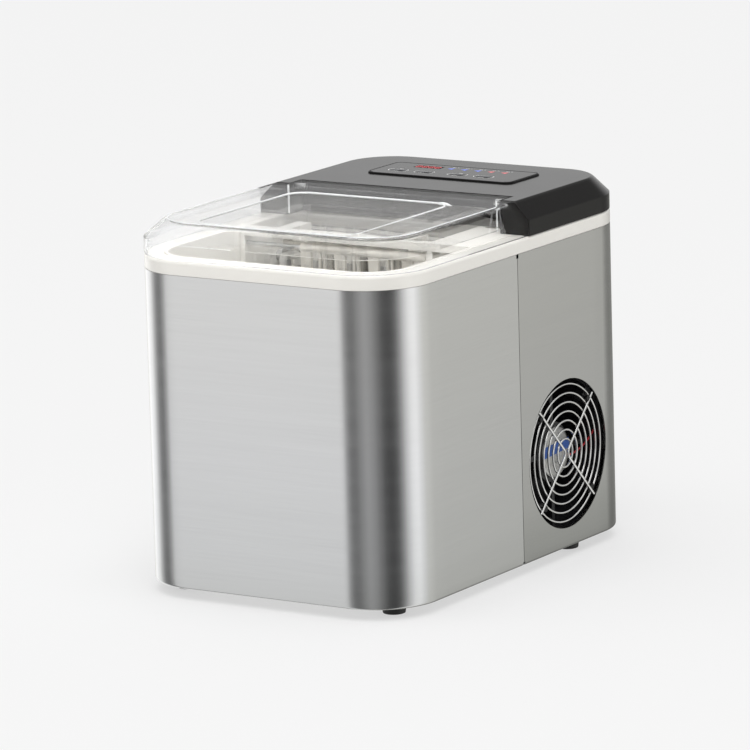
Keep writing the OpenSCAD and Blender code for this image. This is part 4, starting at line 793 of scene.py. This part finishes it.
wear(makePlate(), panelBlack, "panel_black", "case", "control_panel")
capProfile = [(0, panelShape["capFoot"]), (0, plateTop - 0.1), (0.15, plateTop + 0.2), (0.5, plateTop + 0.3)]
for number, x in enumerate(panelShape["buttonX"], 1):
    cap = plug(f"buttonCap{number}", (x, panelShape["buttonY"]), panelShape["button"], capProfile)
    wear(cap, buttonDark, "button_white", f"button_{number}", f"button_{number}")


def makeOutline():
    # a dark line printed along the plate's sides and back, just inside its rounded edge
    outer, inner = (plateLoop(inset) for inset in panelShape["line"])
    low, high = plateTop, plateTop + 0.05
    return carried("panelLine", [outer, outer, inner, inner], [low, high, high, low], True, False)


# a stroke is (from, to, place towards the back, width), given from the middle of its button or lamp
printShape = {"rise": 0.06, "arcReach": 4.6, "arcRadius": 4.0, "arcWidth": 0.45, "arcHalf": 70,
              "above": (-1.6, 1.8, 4.9, 0.8), "aboveAt": (0, 2), "below": (-2.6, 2.6, -4.6, 0.6),
              "lamp": ((-1.8, 1.4, 5.0, 0.9), (2.4, 3.8, 5.6, 0.6)), "segment": 0.8}


def flatMark(loop):
    # a thin printed shape that stands a hair above the plate
    return carried("mark", [loop, loop], [plateTop, plateTop + printShape["rise"]])


def strokeMark(start, end, width):
    # a straight stroke: both ends moved half the width to each side
    p, q = np.array(start), np.array(end)
    d = (q - p) / np.linalg.norm(q - p)
    n = np.array([-d[1], d[0]]) * width / 2
    return flatMark(np.array([p - n, q - n, q + n, p + n]))


def levelMark(x, y, stroke):
    # a stroke along the plate's width
    start, end, back, width = stroke
    return strokeMark((x + start, y + back), (x + end, y + back), width)


def arcMark(x, y, middle):
    # a part of a ring on both sides of its middle angle: out along the outer arc, back along the inner
    r, half, span = printShape["arcRadius"], printShape["arcWidth"] / 2, printShape["arcHalf"]
    outer = arc(x, y, r + half, middle - span, middle + span, 10)
    return flatMark(np.concatenate([outer, arc(x, y, r - half, middle + span, middle - span, 10)]))


def makePrint():
    # two arcs round each button with a stroke below, on two of them one above, and strokes over the lamps
    marks, reach = [], printShape["arcReach"]
    for k, x in enumerate(panelShape["buttonX"]):
        y = panelShape["buttonY"]
        marks += [arcMark(x + reach, y, 0), arcMark(x - reach, y, 180)]
        if k in printShape["aboveAt"]:
            marks.append(levelMark(x, y, printShape["above"]))
        marks.append(levelMark(x, y, printShape["below"]))
    for x in panelShape["lampX"]:
        marks += [levelMark(x, panelShape["lampY"], stroke) for stroke in printShape["lamp"]]
    return joined("panelPrint", marks)


def makeDigits():
    # every digit is an 8 of seven strokes, each shortened at both ends
    (w, h), trim = panelShape["digit"], panelShape["trim"]
    ends = [((0, h), (w, h)), ((w, h), (w, h / 2)), ((w, h / 2), (w, 0)), ((0, 0), (w, 0)),
            ((0, 0), (0, h / 2)), ((0, h / 2), (0, h)), ((0, h / 2), (w, h / 2))]
    strokes = []
    for x in panelShape["digitX"]:
        for a, b in np.array(ends) + (x, panelShape["digitY"]):
            way = np.sign(b - a)
            strokes.append(strokeMark(a + trim * way, b - trim * way, printShape["segment"]))
    return joined("displayDigits", strokes)


def makeWindow():
    # a flat rectangle sunk into the plate
    (x0, x1), (y0, y1) = panelShape["windowX"], panelShape["windowY"]
    loop = [[x0, y0], [x1, y0], [x1, y1], [x0, y1]]
    return carried("windowPane", [loop, loop], [panelShape["windowFoot"], plateTop])


def makeLens(number, x):
    # a triangle that points to the left
    a, r = np.radians([180, 300, 60]), panelShape["lampSide"] / math.sqrt(3)
    loop = np.stack([x + r * np.cos(a), panelShape["lampY"] + r * np.sin(a)], 1)
    return carried(f"lampLens{number}", [loop, loop], [panelShape["windowFoot"], plateTop + 0.05])


wear(makeOutline(), printDark, "panel_black", "case")
wear(makePrint(), printWhite, "button_white", "case")
wear(makeDigits(), digitRed, "display_red", "case")
wear(makeWindow(), windowDark, "display_red", "case", "display_window")
for number, x in enumerate(panelShape["lampX"], 1):
    lens = wear(makeLens(number, x), lampBlue if number < 4 else lampRed, "lamp_blue", "case")
    if number == 1:
        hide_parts("indicator_lenses")
print("stage: control panel")


# ---- fan: guard of rings and braces, motor, label and lead

# the motor's profile is (place along the axis, radius); the lead's points are given from the fan's axis
motorShape = {"profile": [(92, 1.6), (92, 5.5), (92.5, 6), (94, 6), (94, 18.5), (94.5, 19.4), (95.5, 20),
                          (107.5, 20), (109, 19.5), (109.7, 18.4), (110, 17), (110, 8), (109.6, 7.6),
                          (109.6, 0.4)],
              "labelX": (110.05, 110.17), "labelHalf": 19.0, "labelEdge": 19.3, "labelZ": (-1.0, 7.5),
              "labelSlope": 0.06, "leadRadius": 0.75,
              "lead": [(110.2, 17.0, -5.8), (112.2, 38.0, -4.5), (109.5, 57.6, 7.0)]}


def fromAxis(x, y, z):
    # places given across the machine and from the fan's axis
    return np.stack(np.broadcast_arrays(x, fanShape["y"] + y, fanShape["z"] + z), -1)


def bent(start, handle, end, count):
    # a curve: (1 - t) squared of the start, twice t(1 - t) of the handle, and t squared of the end
    t = np.linspace(0, 1, count)[:, None]
    return (1 - t) ** 2 * np.array(start) + 2 * t * (1 - t) * np.array(handle) + t ** 2 * np.array(end)


def guardRing(radius):
    # the wire's round section carried along a circle
    a = fullTurn(96)
    path = fromAxis(fanShape["guardX"], radius * np.cos(a), radius * np.sin(a))
    return tubeAlong("ring", path, fanShape["wire"], 10, closed=True)


def makeGuard():
    # the braces are two straight legs each, joined by a curve near the middle
    wires = [guardRing(fanShape["firstRing"] + fanShape["ringPitch"] * k) for k in range(fanShape["rings"])]
    reach, bend = fanShape["braceReach"] * math.cos(math.radians(45)), fanShape["braceBend"]
    for s in (-1, 1):
        curve = bent((s * bend, bend), (s * 0.2, 0.0), (s * bend, -bend), 13)
        legs = np.concatenate([[[s * reach, reach]], curve, [[s * reach, -reach]]])
        wires.append(tubeAlong("brace", fromAxis(fanShape["braceX"], *legs.T), 1.15 * fanShape["wire"], 10))
    return joined("guardWires", wires)


def makeMotor():
    # the profile turned round the fan's axis
    steps, profile = 64, np.array(motorShape["profile"])
    a, radius = fullTurn(steps), profile[:, 1:]
    grid = fromAxis(profile[:, :1], radius * np.cos(a), radius * np.sin(a))
    last = (len(profile) - 1) * steps
    faces = gridFaces(len(profile), steps, False, True)
    faces += [list(range(steps)), list(range(last, last + steps))]
    return addMesh("motorCan", grid.reshape(-1, 3), faces, 32)


def makeLabel():
    # a plain band stuck across the motor's end and over its edge
    x0, x1 = motorShape["labelX"]
    u = np.linspace(-motorShape["labelHalf"], motorShape["labelHalf"], 25)
    limit = np.sqrt(np.maximum(motorShape["labelEdge"] ** 2 - u ** 2, 0.5))
    low, high = (np.clip(z + motorShape["labelSlope"] * u, -limit, limit) for z in motorShape["labelZ"])
    rows = [fromAxis(x, u, edge) for x, edge in ((x0, low), (x0, high), (x1, high), (x1, low))]
    faces = gridFaces(4, 25, True, False) + [[0, 25, 50, 75], [24, 49, 74, 99]]
    return addMesh("motorLabel", np.concatenate(rows), faces)


def makeLead():
    # from the motor's end face to the duct's wall
    return tubeAlong("motorLead", fromAxis(*bent(*motorShape["lead"], 25).T), motorShape["leadRadius"], 10)


wear(makeGuard(), wireChrome, "guard_wire", "case", "fan_guard")
wear(makeMotor(), motorSilver, "motor_silver", "case", "fan_motor")
wear(makeLabel(), labelBlue, "motor_silver", "case")
wear(makeLead(), leadRed, "lead_red", "case", "fan_lead")
print("stage: fan")


# ---- mouldings that show through the lid, with their sharp edges softened

softEdged = {"mechanism_frame": ("frameMoulding", "case", "white_tank", tankWhite, 0.5),
             "inner_liner": ("tankMoulding", "case", "white_tank", tankWhite, 0.5),
             "water_tray": ("trayMoulding", "tray", "basket_plastic", trayPlastic, 0.4),
             "ice_shovel": ("shovelMoulding", "shovel", "shovel_plastic", shovelPlastic, 0.35),
             "ice_basket": ("basketMoulding", "basket", "basket_plastic", basketPlastic, 0.4),
             "feet": ("feetMoulding", "case", "black_rubber", rubberBlack, 0.6)}
for node, (name, body, slot, material, bevel) in softEdged.items():
    wear(copyOfNode(name, node, bevel), material, slot, body, node)
print("stage: soft edges")


# ---- finishes of the rigid solids whose shape stays

nodeFinish = [
    (zincSteel, "base_pan foot_screws rim_screws board_screws lid_pins evaporator_screws tray_shaft "
                "shovel_shaft fan_shaft compressor_bolts"),
    (copper, "condenser_tube filter_drier liquid_line discharge_pipe suction_pipe capillary_tube "
             "hot_gas_pipe"),
    (darkPlastic, "seam_strips water_pump ice_sensor gas_valve inlet_cup"),
    (rubberBlack, "drain_seal compressor_grommets cord_gland"), (boardGreen, "display_board main_board"),
    (nickel, "evaporator evaporator_tube"), (fanPlastic, "fan_shroud fan_impeller"),
    (foamWhite, "foam_insulation"), (shovelPlastic, "board_posts"), (motorSilver, "tray_motor"),
    (hoseMilky, "water_tube"), (tankWhite, "drain_cap"), (blackOxide, "guard_screws"),
    (finAluminium, "condenser_fins"), (canBlack, "compressor")]
for material, names in nodeFinish:
    for node in names.split():
        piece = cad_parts[node]
        piece.data.materials.clear()
        piece.data.materials.append(material)
print("stage: rigid solids")


# ---- camera, light and floor

# degrees and millimetres; the slides go across the view
view = {"azimuth": 32.44, "elevation": 11.66, "roll": -1.6, "distance": 4547.8, "aim": (0.0, 0.0, 150.0),
        "slideX": -6.92, "slideY": -5.71, "lens": 288.0}


def placeCamera():
    # stands off from its aim by azimuth, elevation and distance, then rolled, and slid across the view
    az, el, roll = (math.radians(view[k]) for k in ("azimuth", "elevation", "roll"))
    back = Vector((math.sin(az) * math.cos(el), -math.cos(az) * math.cos(el), math.sin(el)))
    right = Vector((math.cos(az), math.sin(az), 0))
    up = back.cross(right)
    x = right * math.cos(roll) + up * math.sin(roll)
    y = up * math.cos(roll) - right * math.sin(roll)
    camera = bpy.data.objects.new("camera", bpy.data.cameras.new("camera"))
    bpy.context.scene.collection.objects.link(camera)
    place = Vector(view["aim"]) + back * view["distance"] + x * view["slideX"] + y * view["slideY"]
    camera.matrix_world = Matrix.Translation(place * mm) @ Matrix((x, y, back)).transposed().to_4x4()
    camera.data.lens = view["lens"]
    camera.data.sensor_width = 36.0
    camera.data.clip_end = 60.0
    bpy.context.scene.camera = camera


# stops: brightness of the screens by azimuth, in degrees from the front towards the fan side, which gives
# the bands in the steel; screenLevels: brightness by height; share: where height takes over from azimuth;
# lamps: name, place and aim in metres, size, power, and spread in degrees
studio = {"background": 0.896, "floorEven": 0.6, "floorColour": (0.90, 0.90, 0.90), "floorHalf": 9000,
          "roomLevels": [(0.0, 0.62), (0.3, 0.62), (0.6, 0.45), (0.85, 1.5)], "screenRadius": 8.0,
          "stops": [(-180, 0.27), (-166, 0.32), (-150, 0.55), (-134, 0.95), (-118, 1.45), (-100, 1.25),
                    (-90, 0.70), (-80, 0.30), (-70, 0.22), (-62, 0.42), (-52, 0.96), (-28, 1.04), (-23, 0.88),
                    (-17, 0.40), (-9, 0.22), (-1, 0.22), (8, 0.36), (18, 0.48), (28, 0.40), (38, 0.24),
                    (48, 0.10), (58, 0.07), (68, 0.12), (76, 0.36), (86, 0.85), (96, 1.24), (106, 1.32),
                    (114, 1.06), (126, 0.84), (146, 0.74), (160, 0.36), (170, 0.29)],
          "sideTint": (1.0, 1.0, 0.95), "sideFrom": 120, "share": [(0.50, 0.0), (0.525, 1.0)],
          "screenLevels": [(0.05, 0.8), (0.30, 0.8), (0.42, 0.35), (0.60, 0.35), (0.85, 1.5)],
          "lamps": [("keyLamp", (1.6, -2.4, 3.2), (0, 0, 0.15), 1.6, 18.0, 180),
                    ("fillLamp", (-2.6, -1.6, 2.2), (0, 0, 0.15), 1.6, 5.0, 180),
                    ("tankLamp", (0.02, -0.14, 0.75), (-0.03, -0.07, 0.2), 0.22, 0.10, 50)]}


def addLamp(name, place, aim, size, power, spreadDegrees):
    # a square lamp turned towards its aim
    lamp = bpy.data.lights.new(name, "AREA")
    lamp.spread = math.radians(spreadDegrees)
    lamp.size = size
    lamp.energy = power
    holder = bpy.data.objects.new(name, lamp)
    turn = (Vector(place) - Vector(aim)).to_track_quat("Z", "Y")
    holder.matrix_world = Matrix.Translation(place) @ turn.to_matrix().to_4x4()
    bpy.context.scene.collection.objects.link(holder)


def seenDirectly(nodes, links):
    # 1 where the eye, gloss or glass looks at the background, 0 where it only gives light
    path = nodes.new("ShaderNodeLightPath")
    seen = path.outputs["Is Camera Ray"]
    for kind in ("Is Glossy Ray", "Is Transmission Ray"):
        either = nodes.new("ShaderNodeMath")
        either.operation = "MAXIMUM"
        links.new(seen, either.inputs[0])
        links.new(path.outputs[kind], either.inputs[1])
        seen = either.outputs["Value"]
    return seen


def lightWorld():
    # an even pale room: the soft light, and the plain background
    world = bpy.data.worlds.new("room")
    bpy.context.scene.world = world
    world.use_nodes = True
    nodes, links = world.node_tree.nodes, world.node_tree.links
    nodes.clear()
    out, mix = nodes.new("ShaderNodeOutputWorld"), nodes.new("ShaderNodeMixShader")
    room, backdrop = nodes.new("ShaderNodeBackground"), nodes.new("ShaderNodeBackground")
    part = axesOf(nodes, links, nodes.new("ShaderNodeTexCoord").outputs["Generated"])
    links.new(rampOf(nodes, links, part["Z"], studio["roomLevels"]), room.inputs["Color"])
    backdrop.inputs["Color"].default_value = (studio["background"],) * 3 + (1,)
    links.new(seenDirectly(nodes, links), mix.inputs["Fac"])
    links.new(room.outputs["Background"], mix.inputs[1])
    links.new(backdrop.outputs["Background"], mix.inputs[2])
    links.new(mix.outputs["Shader"], out.inputs["Surface"])


def makeScreens():
    # a round wall of pale and dark screens, which only shows in the gloss of metal and plastic
    material, nodes, links, shader = newMaterial("screens")
    nodes.remove(shader)
    part = axesOf(nodes, links, objectPlaces(nodes, links))
    angle, front, glow = (nodes.new("ShaderNode" + kind) for kind in ("Math", "Math", "Emission"))
    front.operation, angle.operation = "MULTIPLY", "ARCTAN2"
    front.inputs[1].default_value = -1.0
    links.new(part["Y"], front.inputs[0])
    links.new(part["X"], angle.inputs[0])
    links.new(front.outputs["Value"], angle.inputs[1])
    r, tint = studio["screenRadius"], np.array(studio["sideTint"])
    turn = spread(nodes, links, angle.outputs["Value"], -math.pi, math.pi, 0.0, 1.0)
    rise = spread(nodes, links, part["Z"], -r, r, 0.0, 1.0)
    bands = [((azimuth + 180) / 360, level * (tint if abs(azimuth) > studio["sideFrom"] else np.ones(3)))
             for azimuth, level in studio["stops"]]
    aside = rampOf(nodes, links, turn, bands, "EASE")
    above = rampOf(nodes, links, rise, [((z + 1) / 2, level) for z, level in studio["screenLevels"]])
    share = rampOf(nodes, links, rise, studio["share"])
    links.new(mixedColour(nodes, links, share, aside, above), glow.inputs["Color"])
    links.new(glow.outputs["Emission"], nodes["Material Output"].inputs["Surface"])
    material.cycles.emission_sampling = "NONE"
    tilt, spin = np.radians(np.linspace(-89, 89, 33))[:, None], fullTurn(64)
    grid = np.stack([np.cos(tilt) * np.cos(spin), np.cos(tilt) * np.sin(spin), np.sin(tilt) + 0 * spin], -1)
    screens = addMesh("screens", grid.reshape(-1, 3) * r / mm, gridFaces(33, 64, False, True))
    screens.data.materials.append(material)
    for ray in ("camera", "diffuse", "transmission", "volume_scatter", "shadow"):
        setattr(screens, "visible_" + ray, False)


def makeFloor():
    # a wide plain floor, evened out where it is seen directly so that it meets the background
    material, nodes, links, shader = newMaterial("floorPale")
    drift = noise(nodes, links, objectPlaces(nodes, links), 1.2, 2.0)
    light = studio["floorColour"]
    dark = tuple(v * 0.995 for v in light)
    links.new(mixedColour(nodes, links, drift, dark, light), shader.inputs["Base Color"])
    shader.inputs["Roughness"].default_value = 0.9
    shader.inputs["Specular IOR Level"].default_value = 0.0
    pale, share = nodes.new("ShaderNodeEmission"), nodes.new("ShaderNodeMixShader")
    pale.inputs["Color"].default_value = (studio["background"],) * 3 + (1,)
    seen = spread(nodes, links, seenDirectly(nodes, links), 0.0, 1.0, 0.0, studio["floorEven"])
    links.new(seen, share.inputs["Fac"])
    links.new(shader.outputs["BSDF"], share.inputs[1])
    links.new(pale.outputs["Emission"], share.inputs[2])
    links.new(share.outputs["Shader"], nodes["Material Output"].inputs["Surface"])
    far = studio["floorHalf"]
    floor = addMesh("floor", [(-far, -far, 0), (far, -far, 0), (far, far, 0), (-far, far, 0)], [[0, 1, 2, 3]])
    floor.data.materials.append(material)
    floor.visible_glossy = False


placeCamera()
lightWorld()
makeScreens()
for lamp in studio["lamps"]:
    addLamp(*lamp)
makeFloor()
scene = bpy.context.scene
scene.view_settings.view_transform = "Standard"

print("stage: camera, light and floor")
